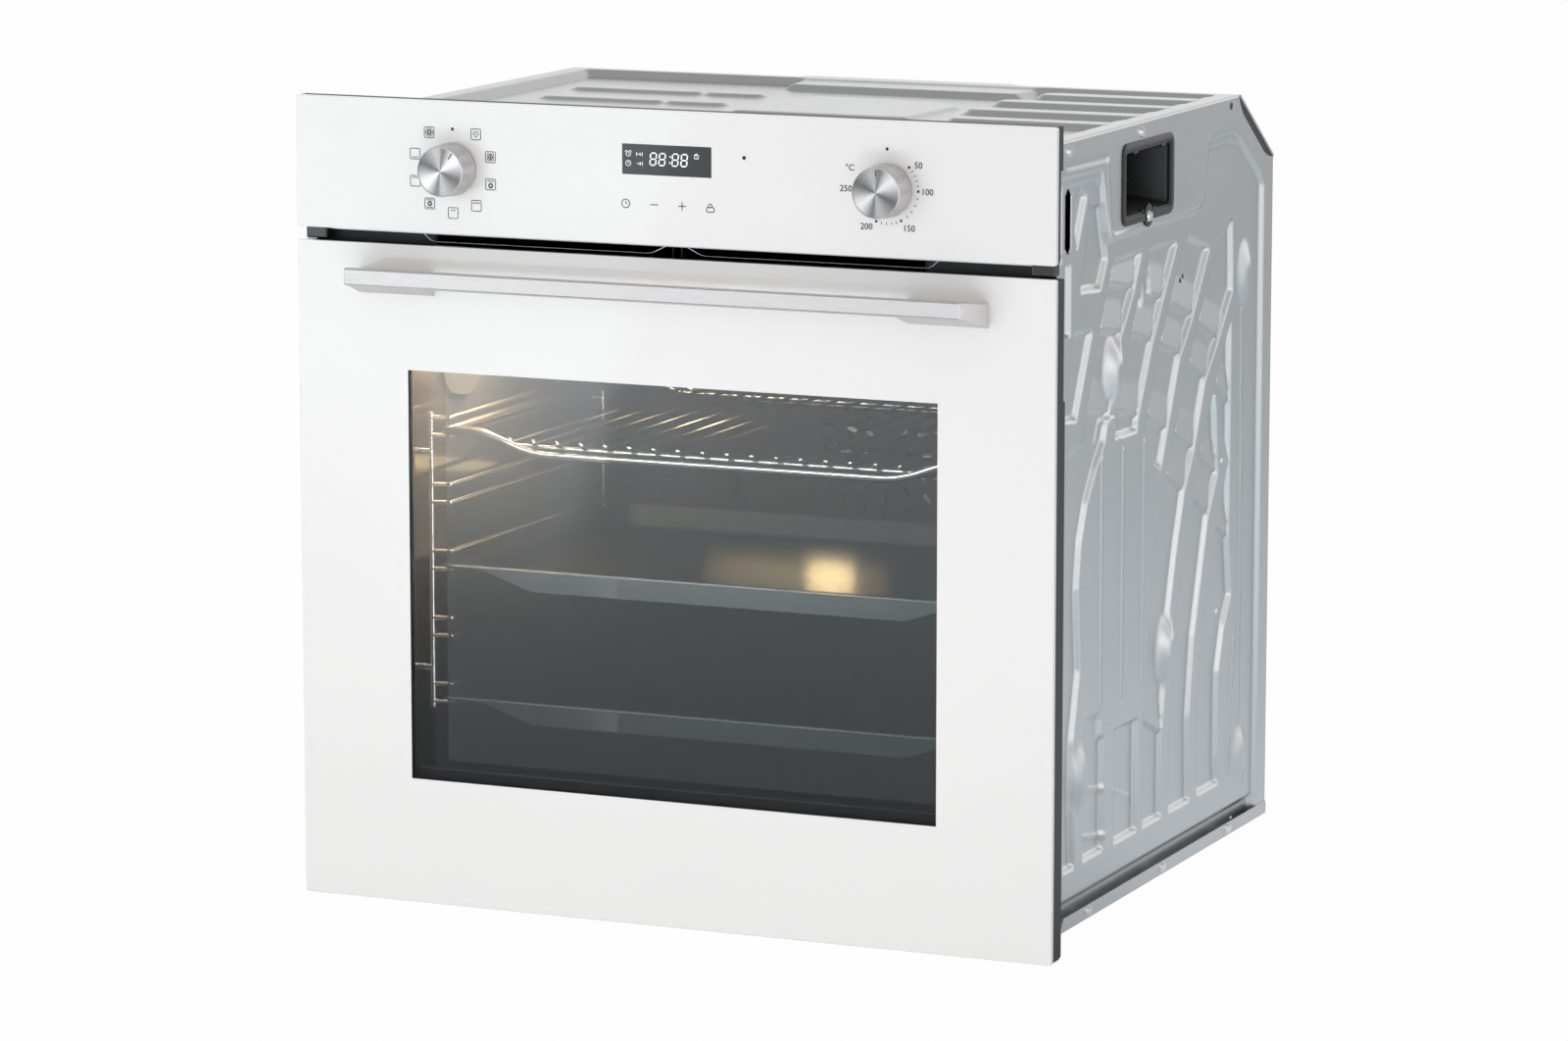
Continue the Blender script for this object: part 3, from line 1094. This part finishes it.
class OVEN_OT_front(bpy.types.Operator):
    """White backed glass of panel and door, with the clear window"""
    bl_idname = "oven.front"
    bl_label = "Front"

    def execute(self, context):
        s = context.scene.oven_front
        white = white_glass(s)
        hole = [edge / MM for edge in (s.window_left, s.window_right, s.window_low, s.window_high)]
        self.slab("panel_glass", in_mm("control_panel_glass"), [], white, "oven_body", "control_panel_glass")
        self.slab("door_glass_white", in_mm("door_glass_outer"), hole, white, "door", "door_glass_outer")
        back = in_mm("door_glass_outer")[1][1]
        solid("window_pane", [block(hole[:2], (0.05, back - 0.05), hole[2:])],
              clear_glass("window glass", s.tint, 1.32), "door", merge=0)
        paint(clear_glass("inner glass", (0.93, 0.95, 0.95), 1.15), "door_glass_middle")
        self.inner_pane(s)
        self.vent_gap()
        self.edge_strips()
        self.grips()
        paint(listed("black powder coat"), "door_profile_left", "door_profile_right", "door_top_rail",
              "door_bottom_rail", "front_frame", "frame_kick_plate", "air_outlet_left", "air_outlet_right")
        paint(listed("black moulded plastic"), "panel_carrier", "terminal_box", "door_gasket")
        return {"FINISHED"}

    def inner_pane(self, s):
        """Inner pane, the black liner frame behind it, and the coated sheets of the window, all plain boxes."""
        low, high = in_mm("door_glass_inner")
        pane = solid("inner_pane", [block((low[0], high[0]), (low[1], high[1]), (low[2], high[2]))],
                     clear_glass("inner glass", (0.93, 0.95, 0.95), 1.15), "door",
                     ["door_glass_inner"], merge=0)
        bevelled(pane, 0.0006, 2)
        opening = [-214.0, 214.0, 98.5, 396.0]
        self.slab("window_liner", [(-239.0, high[1] + 0.1, 69.0), (239.0, 20.9, 424.0)], opening,
                  listed("black powder coat"), "door")
        for name, xs, depths, heights, glass in (
                ("liner_glass", opening[:2], (20.0, 20.6), opening[2:], coated_glass(s)),
                ("window_coat", (-190.3, 209.5), (4.15, 4.25), (100.3, 397.5),
                 clear_glass("window coat", WHITE, 1.26)),
                ("window_coat_inner", (-179.3, 209.5), (4.45, 4.55), (108.3, 397.5),
                 clear_glass("window coat inner", WHITE, s.coating))):
            solid(name, [block(xs, depths, heights)], glass, "door", merge=0)

    def grips(self):
        """Moulded grip pockets: rounded rectangle loops from the floor of the pocket out to its flange and back.

        A loop is a rounded rectangle over (depth, height) at one x; loops are joined in order and capped.
        """
        sheet = 279.0
        for side, node in ((1, "grip_pocket_right"), (-1, "grip_pocket_left")):
            low, high = in_mm(node)
            (y0, z0), (y1, z1) = low[1:], high[1:]
            deep, out = sorted((abs(low[0]), abs(high[0])))
            # each loop: how far in from the box, its corner radius, and its x
            loops = [(30.0, 1.0, deep + 1.6), (12.5, 4.0, deep + 1.6), (8.5, 4.0, sheet - 4.0),
                     (5.5, 4.5, out - 0.4), (5.0, 4.8, out), (0.8, 7.8, out), (0.0, 8.0, out - 0.6),
                     (0.0, 8.0, sheet + 0.1), (7.3, 4.0, sheet + 0.1), (7.3, 4.0, sheet - 4.0), (11.0, 4.0, deep),
                     (30.0, 1.0, deep)]
            rows = []
            for inset, r, x in loops:
                loop = rounded_loop(y0 + inset, y1 - inset, z0 + inset, z1 - inset, r)
                rows.append(np.column_stack([np.full(len(loop), side * x), loop]))
            parts = [capped(laid(np.array(rows)))]
            middle_y = (y0 + y1) / 2
            # latches above and below the mouth, the screw boss and a slanted rib on the floor
            for dy, z, wide, tall in ((-30.0, z1 - 8.8, 9.0, 4.2), (28.0, z1 - 8.8, 9.0, 4.2),
                                      (-12.0, z0 + 4.8, 5.0, 4.0), (12.0, z0 + 4.8, 5.0, 4.0)):
                parts.append(block((side * (out - 4.0), side * (out - 1.2)), (middle_y + dy, middle_y + dy + wide),
                                   (z, z + tall)))
            boss = [(0.0, side * (out - 3.0)), (8.5, side * (out - 3.0)), (8.5, side * (out - 0.4)),
                    (8.0, side * out), (0.0, side * out)]
            parts.append(lathe(boss, (0.0, middle_y, z0 + 3.5), 32, "x"))
            (ya, za), (yb, zb) = (y0 + 16.0, z1 - 20.0), (y1 - 16.0, z0 + 24.0)
            section = [(ya, za - 1.2), (yb, zb - 1.2), (yb, zb + 1.2), (ya, za + 1.2)]
            corners = [(x, *place) for x in sorted((side * (deep + 2.0), side * (deep + 18.0))) for place in section]
            parts.append((laid(corners), np.array([[0, 1, 2, 3], [4, 7, 6, 5], [0, 4, 5, 1], [1, 5, 6, 2],
                                                   [2, 6, 7, 3], [3, 7, 4, 0]])))
            solid(node.replace("_pocket", ""), parts, listed("black moulded plastic"), "oven_body",
                  [node], sharp=35)

    def edge_strips(self):
        """Black edges behind the glass: both ends and the top of the panel, and the lower part of the door."""
        black = listed("black powder coat")
        ends = [block((x - 2.2, x + 2.2), (4.2, back), heights) for x in (-294.4, 294.4)
                for heights, back in (((500.0, 564.0), 9.5), ((564.0, 593.0), 14.5))]
        solid("panel_edge_strips", ends, black, "oven_body", merge=0)
        solid("panel_top_strip", [block((-296.4, 296.4), (4.2, 14.5), (592.6, 594.9))], black, "oven_body",
              merge=0)
        strips = [block((x - 2.4, x + 2.4), (16.9, 21.4), (1.5, 401.0)) for x in (-294.3, 294.3)]
        bevelled(solid("door_edge_strips", strips, black, "door", merge=0), 0.0006, 2)

    def vent_gap(self):
        """Black ends of the air gap over the door, and the thin bright edges of its two air mouths."""
        sheet = (17.4, 18.6)
        sheets = [block((side * 193.5, side * 291.0), sheet, (474.2, 496.0)) for side in SIDES]
        bevelled(solid("gap_sheets", sheets, listed("black powder coat"), "oven_body", merge=0),
                 0.0003, 1)
        blocks = [block((side * 276.5, side * 293.5), (6.0, sheet[0]), (489.6, 500.6)) for side in SIDES]
        bevelled(solid("gap_blocks", blocks, listed("black display glass"), "oven_body", merge=0),
                 0.0012, 3)
        lips = []
        for side in SIDES:
            corners = [(side * x, 17.0, z) for x, z in ((202, 495.6), (196, 490.2), (20, 490.2), (9, 495.6))]
            lips.append(tube(rounded_path(corners, 4.0, 5), 0.28, 6))
        solid("air_mouth_edges", lips, listed("bright zinc"), "oven_body", sharp=40)

    def slab(self, name, box, hole, material, body, node=None):
        """A pane with rounded corners and an optional square window: loops joined front to back.

        The outer loop is a rounded rectangle, the inner one the window, each with the same number of points.
        """
        (x0, front, z0), (x1, back, z1) = box
        r, steps, chamfer = 2.0, 6, 0.4
        outer = rounded_loop(x0, x1, z0, z1, r, steps)
        tight = outer - np.sign(outer - outer.mean(0)) * chamfer
        if hole:
            left, right, foot, top = hole
            inner = np.repeat([(right, top), (left, top), (left, foot), (right, foot)], steps, axis=0)
        else:
            inner = np.repeat([((x0 + x1) / 2, (z0 + z1) / 2)], len(outer), axis=0)
        loops = [(inner, front), (tight, front), (outer, front + chamfer), (outer, back - chamfer), (tight, back),
                 (inner, back)]
        points = laid([np.stack([loop[:, 0], np.full(len(loop), y), loop[:, 1]], -1) for loop, y in loops])
        quads = grid_quads(len(loops), len(outer), wrap_rows=bool(hole), wrap_columns=True)
        solid(name, [(points.reshape(-1, 3), quads)], material, body,
              [node] if node else (), sharp=30, merge=1e-6)


# ---------- handle and other metal ----------

# Carried nodes by finish
PAINTED = {
    "bright wire": ["side_rack_left", "side_rack_right"],
    "dark enamel": ["cavity_liner"],
    "cover enamel": ["fan_cover"],
    "bright zinc": ["case_screws", "handle_screws", "hinge_bracket_left", "hinge_bracket_right", "hinge_pins",
                    "hinge_ears", "temperature_probe", "selector_shaft", "temperature_shaft", "oven_lamp"],
    "heater tube": ["grill_element", "bottom_element", "ring_element"],
    "motor steel": ["blower_motor", "convection_motor"],
    "fan aluminium": ["blower_rotor", "convection_fan"],
    "black display glass": ["display_module"],
    "circuit board": ["touch_key_board"],
    "switch moulding": ["selector_switch", "thermostat"],
    "grey ring": ["knob_rings"],
    "mineral wool": ["insulation_blanket"],
}


class OVEN_OT_metal(bpy.types.Operator):
    """Finish of the handle, racks, trays, heaters and works inside"""
    bl_idname = "oven.metal"
    bl_label = "Metal pieces"

    def execute(self, context):
        self.handle()
        self.shelf()
        self.tray_rims()
        for name, nodes in PAINTED.items():
            paint(listed(name), *nodes)
        paint(tray_enamel(), "baking_tray_upper", "baking_tray_lower")
        paint(glow("lit lamp glass", (1.0, 0.72, 0.42), 0.4, (0.0012, 0.001, 0.0009)), "lamp_glass")
        return {"FINISHED"}

    def handle(self):
        """Flat bar with bevelled edges on two wedge feet, each a stack of sections joined end to end.

        A section is a loop of points (depth, height); the bar ends lean outwards as they go back to the glass.
        """
        low, high = in_mm("handle_bar")
        top, foot, front = high[2], low[2] + 10.7, low[1]
        back, bevel, face = front + 9.5, 0.6, 240.5
        lean = (high[0] - face) / -front
        section = np.array([(front, foot + bevel), (front, top - bevel), (front + bevel, top), (back - 1, top),
                            (back, top - 1), (back, foot - 1.4), (back - 1, foot - 2.2), (front + bevel, foot)])
        reach = face + (section[:, 0] - front) * lean - bevel * (section[:, 0] < front + 0.1)
        x = np.stack([-reach, bevel - reach, reach - bevel, reach])
        shrink = np.array([1.0, 0.0, 0.0, 1.0])[:, None, None]
        rows = section - shrink * bevel * np.sign(section - section.mean(0))
        parts = [capped(laid(np.concatenate([x[..., None], rows], -1)))]
        c = 0.5
        for side in SIDES:
            loops = []
            # depth, upper and lower edge and inner end of each section of a foot, and how far its outer end steps in
            for d, t, b, near, step in ((back - 4.0, top - 0.3, foot - 1.0, 187.0, 0.3),
                                        (-0.5, 469.6, 452.6, 186.0, 0.3), (0.0, 469.0, 453.0, 186.5, 0.7)):
                outer = face + (d - front) * lean - step
                loops.append([(side * x, d, z) for x, z in (
                    (near + c, t), (outer - c, t), (outer, t - c), (outer, b + c), (outer - c, b), (near + c, b),
                    (near, b + c), (near, t - c))])
            parts.append(capped(laid(loops)))
        solid("handle", parts, listed("brushed aluminium"), "door", ["handle_bar"], merge=1e-6)

    def shelf(self):
        """Wire shelf: dipped front and rear rods, side rods, two cross bars, thin wires and their bright ends."""
        low, high = in_mm("wire_shelf")
        r = 3.0
        (edge, y1, z1), (_, y0, z0) = high - r, low + r
        bar = z0 + 4
        parts = []

        def dipped(y, shoulder, floor, z, bend, turns, rod, steps):
            """Rod across the shelf at a depth, level at both ends and lower between, with rounded bends."""
            path = [(-edge, y, z1), (-shoulder, y, z1), (-floor, y, z), (floor, y, z), (shoulder, y, z1),
                    (edge, y, z1)]
            parts.append(tube(rounded_path(path, bend, turns), rod, steps))

        for y in (y0, y1):
            dipped(y, edge - 33, edge - 70, z0, 16, 9, r, 14)
        for side in SIDES:
            parts.append(tube([(side * edge, y0, z1), (side * edge, y1, z1)], r, 14))
        for y in (y0 + 9, y1 - 9):
            dipped(y, edge - 29, edge - 46, bar, 12, 7, 2.5, 12)
        t = np.linspace(0, math.pi, 9)
        ball = 2.3 * np.stack([np.sin(t), -np.cos(t)], -1)
        for x in np.linspace(-1, 1, 18) * (edge - 51.4):
            parts.append(tube([(x, y0 + 4, bar + 3), (x, y1 - 4, bar + 3)], 1.3, 8))
            parts.append(lathe(ball, (x, y0 + 3.5, bar + 5), 14))
        solid("shelf", parts, listed("bright wire"), "wire_shelf", ["wire_shelf"], sharp=40)

    def tray_rims(self):
        """Rolled bead along the flange of each baking tray, in bright worn enamel."""
        for body in ("baking_tray_upper", "baking_tray_lower"):
            low, high = in_mm(body)
            r = 1.1
            (x, y1, z), y0 = high - r, low[1] + r
            start = (30 - x, y0, z)
            path = [start, (x, y0, z), (x, y1, z), (-x, y1, z), (-x, y0, z), start]
            solid(body + "_rim", [tube(rounded_path(path, 12, 6), r, 8)], listed("bright enamel rim"), body,
                  sharp=40)


class OVEN_OT_knobs(bpy.types.Operator):
    """Turned metal knobs with a spun face and a pointer line"""
    bl_idname = "oven.knobs"
    bl_label = "Knobs"

    def execute(self, context):
        for name, node, turn in (("knob_left", "selector_knob", 36.0), ("knob_right", "temperature_knob", 0.0)):
            low, high = in_mm(node)
            front, back, r = low[1], high[1], (high[0] - low[0]) / 2
            centre = (low + high) / 2 * (1, 0, 1)
            rim = r - 1.0
            face = [(0.0, front + 0.6), (rim - 1.1, front + 0.6), (rim - 0.9, front)]
            skirt = [(rim - 0.9, front), (rim - 0.4, front), (rim, front + 0.6), (r - 0.3, back - 4.2),
                     (r, back - 3.6), (r, back - 1.6), (r - 0.6, back - 1.0), (r - 0.8, back), (0.0, back)]
            piece = solid(name, [lathe(profile, centre, 128) for profile in (face, skirt)],
                          spun_metal("spun metal " + name, centre * MM), node, [node], sharp=25,
                          merge=1e-6)
            # everything but the face gets the finish of the turned side
            mesh = piece.data
            mesh.materials.append(listed("turned metal side"))
            places = np.empty(len(mesh.polygons) * 3)
            mesh.polygons.foreach_get("center", places)
            x, y, z = (places.reshape(-1, 3) - laid(centre)).T / MM
            turned = (np.hypot(x, z) > rim - 1.0) | (y > (front + back) / 2)
            mesh.polygons.foreach_set("material_index", turned.astype(np.int32))
            self.pointer(name, centre, r, front, turn, node)
        return {"FINISHED"}

    def pointer(self, name, centre, r, front, turn, body):
        """A short dark line sunk in the face, from near the rim inwards, turned clockwise from the top."""
        points, quads = block((-0.45, 0.45), (front + 0.4, front + 1.2), (r * 0.60, r * 0.86))
        c, q = math.cos(math.radians(turn)), math.sin(math.radians(turn))
        points = points @ np.array([[c, 0, -q], [0, 1, 0], [q, 0, c]]) + centre * MM
        solid(name + "_pointer", [(points, quads)], listed("pointer grey"), body, merge=0)


# ---------- printed marks and display ----------

# Marks are drawn in millimetres about their own middle: (closed, points) for each stroke
def ring_line(x, z, r, steps=20):
    """Circle about (x, z)."""
    t = np.linspace(0, 2 * math.pi, steps, endpoint=False)
    return True, np.stack([x + r * np.sin(t), z + r * np.cos(t)], -1)


def arc_line(x, z, r, start, end, steps=10):
    """Arc about (x, z) between two angles in degrees, clockwise from the top."""
    t = np.radians(np.linspace(start, end, steps))
    return False, np.stack([x + r * np.sin(t), z + r * np.cos(t)], -1)


def line(*corners):
    """Open line through its corners."""
    return False, np.array(corners, float)


def frame_line(half=3.9, r=1.0):
    """Square with rounded corners."""
    return True, rounded_path([(half, half), (half, -half), (-half, -half), (-half, half)], r, 4, closed=True)


def fan_lines(x, z, r):
    """A small circle with four curved blades in it."""
    blades = [arc_line(x + r * 0.3 * math.sin(a), z + r * 0.3 * math.cos(a), r * 0.42, math.degrees(a) - 80,
                       math.degrees(a) + 80, 5) for a in np.radians([0, 90, 180, 270])]
    return [ring_line(x, z, r, 14)] + blades


def zigzag(left, right, z, high, teeth):
    """A heater drawn as a zigzag line."""
    xs = np.linspace(left, right, 2 * teeth + 1)
    return False, np.stack([xs, z + high * (np.arange(len(xs)) % 2 * 1.0 - 0.5)], -1)


ICONS = {
    "lamp": [frame_line(), arc_line(0, 0.3, 1.3, -140, 140, 12), line((-0.8, -0.8), (-0.8, -1.8), (0.8, -1.8),
                                                                     (0.8, -0.8)),
             line((0, 2.2), (0, 3.0)), line((1.6, 1.7), (2.2, 2.4)), line((-1.6, 1.7), (-2.2, 2.4)),
             line((2.1, 0.2), (2.9, 0.2)), line((-2.1, 0.2), (-2.9, 0.2))],
    "thaw": [frame_line(), ring_line(-1.6, 1.6, 0.9, 10), ring_line(1.6, 1.6, 0.9, 10), ring_line(-1.6, -1.6, 0.9, 10),
             ring_line(1.6, -1.6, 0.9, 10), line((-2.9, 0), (2.9, 0)), line((0, -2.9), (0, 2.9))],
    "grill_fan": [frame_line(), zigzag(-2.6, 2.6, 2.3, 1.0, 3)] + fan_lines(0, -0.9, 1.7),
    "large_grill": [frame_line(), zigzag(-2.8, 2.8, 2.0, 1.2, 4)],
    "small_grill": [frame_line(), zigzag(-1.6, 1.6, 2.0, 1.2, 3)],
    "bake_fan": [frame_line(), line((-2.7, 2.6), (2.7, 2.6)), line((-2.7, -2.7), (2.7, -2.7))] + fan_lines(0, 0, 1.6),
    "top_heat": [frame_line(), line((-2.7, 2.5), (2.7, 2.5))],
    "both_heat": [frame_line(), line((-2.7, -2.5), (2.7, -2.5))],
    "ring_fan": [frame_line(), ring_line(0, 0, 2.9, 20)] + fan_lines(0, 0, 1.7),
    "clock": [ring_line(0, 0, 3.1, 28), line((0, 1.9), (0, 0), (1.5, -0.3))],
    "minus": [line((-3.1, 0), (3.1, 0))],
    "plus": [line((-3.1, 0), (3.1, 0)), line((0, -3.1), (0, 3.1))],
    "lock": [arc_line(0, 1.5, 1.3, -90, 90, 10), line((-1.3, 1.5), (-1.3, 0.2)), line((1.3, 1.5), (1.3, 0.2)),
             (True, rounded_path([(2.9, 0.2), (2.9, -3.0), (-2.9, -3.0), (-2.9, 0.2)], 0.5, 3, closed=True))],
    "bell": [ring_line(0, -0.2, 1.9, 18), line((0, 0.9), (0, -0.2), (0.8, -0.2)), arc_line(-1.6, 1.6, 0.9, -130, 40, 5),
             arc_line(1.6, 1.6, 0.9, -40, 130, 5)],
    "small_clock": [ring_line(0, 0, 2.1, 20), line((0, 1.3), (0, 0), (1.0, -0.1))],
    "span": [line((-2.7, -1.6), (-2.7, 1.6)), line((-2.4, 0), (0.6, 0)), line((0.0, 1.2), (1.1, 0), (0.0, -1.2)),
             line((2.2, -1.6), (2.2, 1.6))],
    "end_time": [line((-2.7, 0), (0.9, 0)), line((-0.1, 1.3), (1.2, 0), (-0.1, -1.3)), line((2.2, -1.6), (2.2, 1.6))],
    "key_lock": [arc_line(0, 1.1, 1.2, -90, 90, 8), line((-1.7, 1.1), (1.7, 1.1)), line((1.7, 1.1), (1.7, -1.5)),
                 line((1.7, -1.5), (-1.7, -1.5)), line((-1.7, -1.5), (-1.7, 1.1)), line((0, 0.2), (0, -0.7))],
}


def stroke(closed, points, width, front, back):
    """A flat line in millimetres with square section: its two edges lie half a width to each side of the path."""
    t = tangents(points, closed)
    side = np.stack([-t[:, 1], t[:, 0]], -1) * width / 2
    rows = laid(np.stack([np.insert(points + way * side, 1, y, axis=1)
                          for way, y in ((1, front), (-1, front), (-1, back), (1, back))], 1))
    if closed:
        return rows.reshape(-1, 3), grid_quads(len(points), 4, wrap_rows=True, wrap_columns=True)
    return capped(rows)


def icon(name, x, z, scale, width, depths):
    """The strokes of a mark set about a place on the panel."""
    return [stroke(closed, points * scale + (x, z), width, *depths) for closed, points in ICONS[name]]


def dot(x, z, r, front, back):
    """A round dot: rings from its middle to its rim and back."""
    return lathe([(0.0, front), (r, front), (r, back), (0.0, back)], (x, 0.0, z), 18)


def round_point(x, z, r, angle):
    """Point (x, height) on a circle, at an angle in degrees clockwise from the top."""
    return x + r * math.sin(math.radians(angle)), z + r * math.cos(math.radians(angle))


def number_mesh(text, height, place):
    """Numerals as a thin solid about a place in metres, made a mesh first and then set out by its vertices."""
    # a numeral is this share of the font size tall
    capital = 0.70
    curve = bpy.data.curves.new(text, "FONT")
    curve.body = text
    curve.size = height / capital
    curve.align_x, curve.align_y = "CENTER", "CENTER"
    curve.extrude = curve.offset = 0.00006
    curve.resolution_u = 3
    holder = bpy.data.objects.new(text, curve)
    bpy.context.scene.collection.objects.link(holder)
    bpy.context.view_layer.update()
    mesh = bpy.data.meshes.new_from_object(holder)
    bpy.data.objects.remove(holder)
    flat = np.zeros(len(mesh.vertices) * 3, np.float32)
    mesh.vertices.foreach_get("co", flat)
    points = flat.reshape(-1, 3)
    points = (points - (points.min(0) + points.max(0)) / 2 * (1, 1, 0))[:, [0, 2, 1]] * (1, -1, 1) + place
    mesh.vertices.foreach_set("co", points.astype(np.float32).ravel())
    mesh.update()
    return mesh


# Selector marks: angle clockwise from the top, mark
SELECTOR = [(36, "lamp"), (72, "thaw"), (108, "grill_fan"), (144, "large_grill"), (180, "small_grill"),
            (216, "bake_fan"), (252, "top_heat"), (288, "both_heat"), (324, "ring_fan")]
# Touch keys: mark and its middle as (x, height)
KEYS = [("clock", -32.1, 527.4), ("minus", -9.9, 527.4), ("plus", 12.1, 527.3), ("lock", 34.1, 527.2)]
# Temperature scale: angles of its dots and ticks, and its numbers with their places from the knob's axis
SCALE_DOTS = (45, 90, 153, 200)
SCALE_TICKS = (54, 63, 71.6, 81, 102.5, 115.5, 128, 140, 162.5, 171.4, 180.5, 190)
SCALE_NUMBERS = [("50", 23.8, 18.5), ("100", 31.1, 0.0), ("150", 17.3, -26.2), ("200", -15.5, -26.1),
                 ("250", -31.3, 0.0), ("°C", -28.3, 15.0)]
# Small marks of the clock display, as the keys
CLOCK_MARKS = [("bell", -29.9, 563.3), ("span", -21.0, 563.2), ("small_clock", -29.9, 556.5),
               ("end_time", -20.9, 556.4), ("key_lock", 23.4, 563.1)]
# Segments of a lit digit: ends of each bar in a cell one wide and two high
SEGMENTS = [((0, 2), (1, 2)), ((1, 2), (1, 1)), ((1, 1), (1, 0)), ((0, 0), (1, 0)), ((0, 1), (0, 0)), ((0, 2), (0, 1)),
            ((0, 1), (1, 1))]


class OVEN_OT_marks(bpy.types.Operator):
    """Printed marks round the knobs, touch keys and the lit clock display"""
    bl_idname = "oven.marks"
    bl_label = "Marks and display"

    def execute(self, context):
        s = context.scene.oven_marks
        ink = finish("printed grey", s.ink, (0.45, 0.55), grain=3000.0, bump=0.0)
        # front and back of the print, which reaches a little into the glass
        depths = (-0.08, 0.05)
        (left, _, z), (right, _, _) = (np.mean(in_mm(node), 0) for node in ("selector_knob", "temperature_knob"))
        width = s.stroke / MM
        parts = []
        for angle, name in SELECTOR:
            parts += icon(name, *round_point(left, z, s.icon_radius / MM, angle), s.icon_scale, width, depths)
        parts += [dot(x, z + 29.0, 1.2, *depths) for x in (left, right)]
        r = s.tick_radius / MM
        parts += [dot(*round_point(right, z, r, angle), 1.0, *depths) for angle in SCALE_DOTS]
        for angle in SCALE_TICKS:
            ends = np.array([round_point(right, z, q, angle) for q in (r - 0.9, r + 0.9)])
            parts.append(stroke(False, ends, width, *depths))
        for name, *place in KEYS:
            parts += icon(name, *place, 1.0, 1.15 * width, depths)
        parts.append(dot(60.4, 564.0, 1.45, *depths))
        solid("printed_marks", parts, ink, "oven_body")
        for text, dx, dz in SCALE_NUMBERS:
            mesh = number_mesh(text, s.number_height, laid((right + dx, depths[0], z + dz)))
            set_out("scale_" + ("degrees" if text == "°C" else text), mesh, ink, "oven_body")
        self.display(depths[0] - 0.02)
        return {"FINISHED"}

    def display(self, face):
        """Dark window set in the glass, with segments and small marks that give a soft white light."""
        solid("display_window", [block((-34.8, 35.0), (face, 0.05), (548.5, 570.4))], listed("black display glass"),
              "oven_body")
        depths = (face - 0.06, face + 0.02)
        # digits lean to the right by a share of their height; each bar stops short of its corners
        foot, lean, short = 555.8, 0.09, 0.55
        cell, gap = np.array([4.5, 4.3]), 7.0
        parts = []
        for x in (-13.0, -13.0 + gap, 4.2, 4.2 + gap):
            for bar in SEGMENTS:
                ends = np.array(bar) * cell + (x, foot)
                along = (ends[1] - ends[0]) / np.linalg.norm(ends[1] - ends[0]) * short
                slant = (ends[:, 1:] - foot) * lean * (1, 0)
                parts.append(stroke(False, ends + (along, -along) + slant, 0.85, *depths))
        parts += [dot(2.4 + (z - foot) * lean, z, 0.55, *depths) for z in (557.9, 562.3)]
        for name, *place in CLOCK_MARKS:
            parts += icon(name, *place, 0.92, 0.34, depths)
        solid("display_segments", parts, glow("lit segment", (0.86, 0.88, 0.90), 0.75), "oven_body")


# ---------- panel and start ----------

PIECES = [OVEN_OT_stage, OVEN_OT_casing, OVEN_OT_front, OVEN_OT_metal, OVEN_OT_knobs, OVEN_OT_marks]
SETTINGS = {"oven_casing": CasingSettings, "oven_front": FrontSettings, "oven_stage": StageSettings,
            "oven_marks": MarksSettings}


class OVEN_PT_panel(bpy.types.Panel):
    bl_label = "Wall Oven"
    bl_idname = "OVEN_PT_panel"
    bl_space_type = "VIEW_3D"
    bl_region_type = "UI"
    bl_category = "Wall Oven"

    def draw(self, context):
        for piece in PIECES:
            self.layout.operator(piece.bl_idname)
        for label, group in SETTINGS.items():
            box = self.layout.box()
            box.label(text=label.replace("_", " "))
            for value in group.__annotations__:
                box.prop(getattr(context.scene, label), value)


def register():
    for group in SETTINGS.values():
        bpy.utils.register_class(group)
    for piece in PIECES:
        bpy.utils.register_class(piece)
    bpy.utils.register_class(OVEN_PT_panel)
    for label, group in SETTINGS.items():
        setattr(bpy.types.Scene, label, PointerProperty(type=group))


def unregister():
    for label in SETTINGS:
        delattr(bpy.types.Scene, label)
    bpy.utils.unregister_class(OVEN_PT_panel)
    for piece in reversed(PIECES):
        bpy.utils.unregister_class(piece)
    for group in SETTINGS.values():
        bpy.utils.unregister_class(group)


def main():
    """Makes every piece in order."""
    register()
    for piece in PIECES:
        family, name = piece.bl_idname.split(".")
        getattr(getattr(bpy.ops, family), name)()


if __name__ == "__main__":
    main()
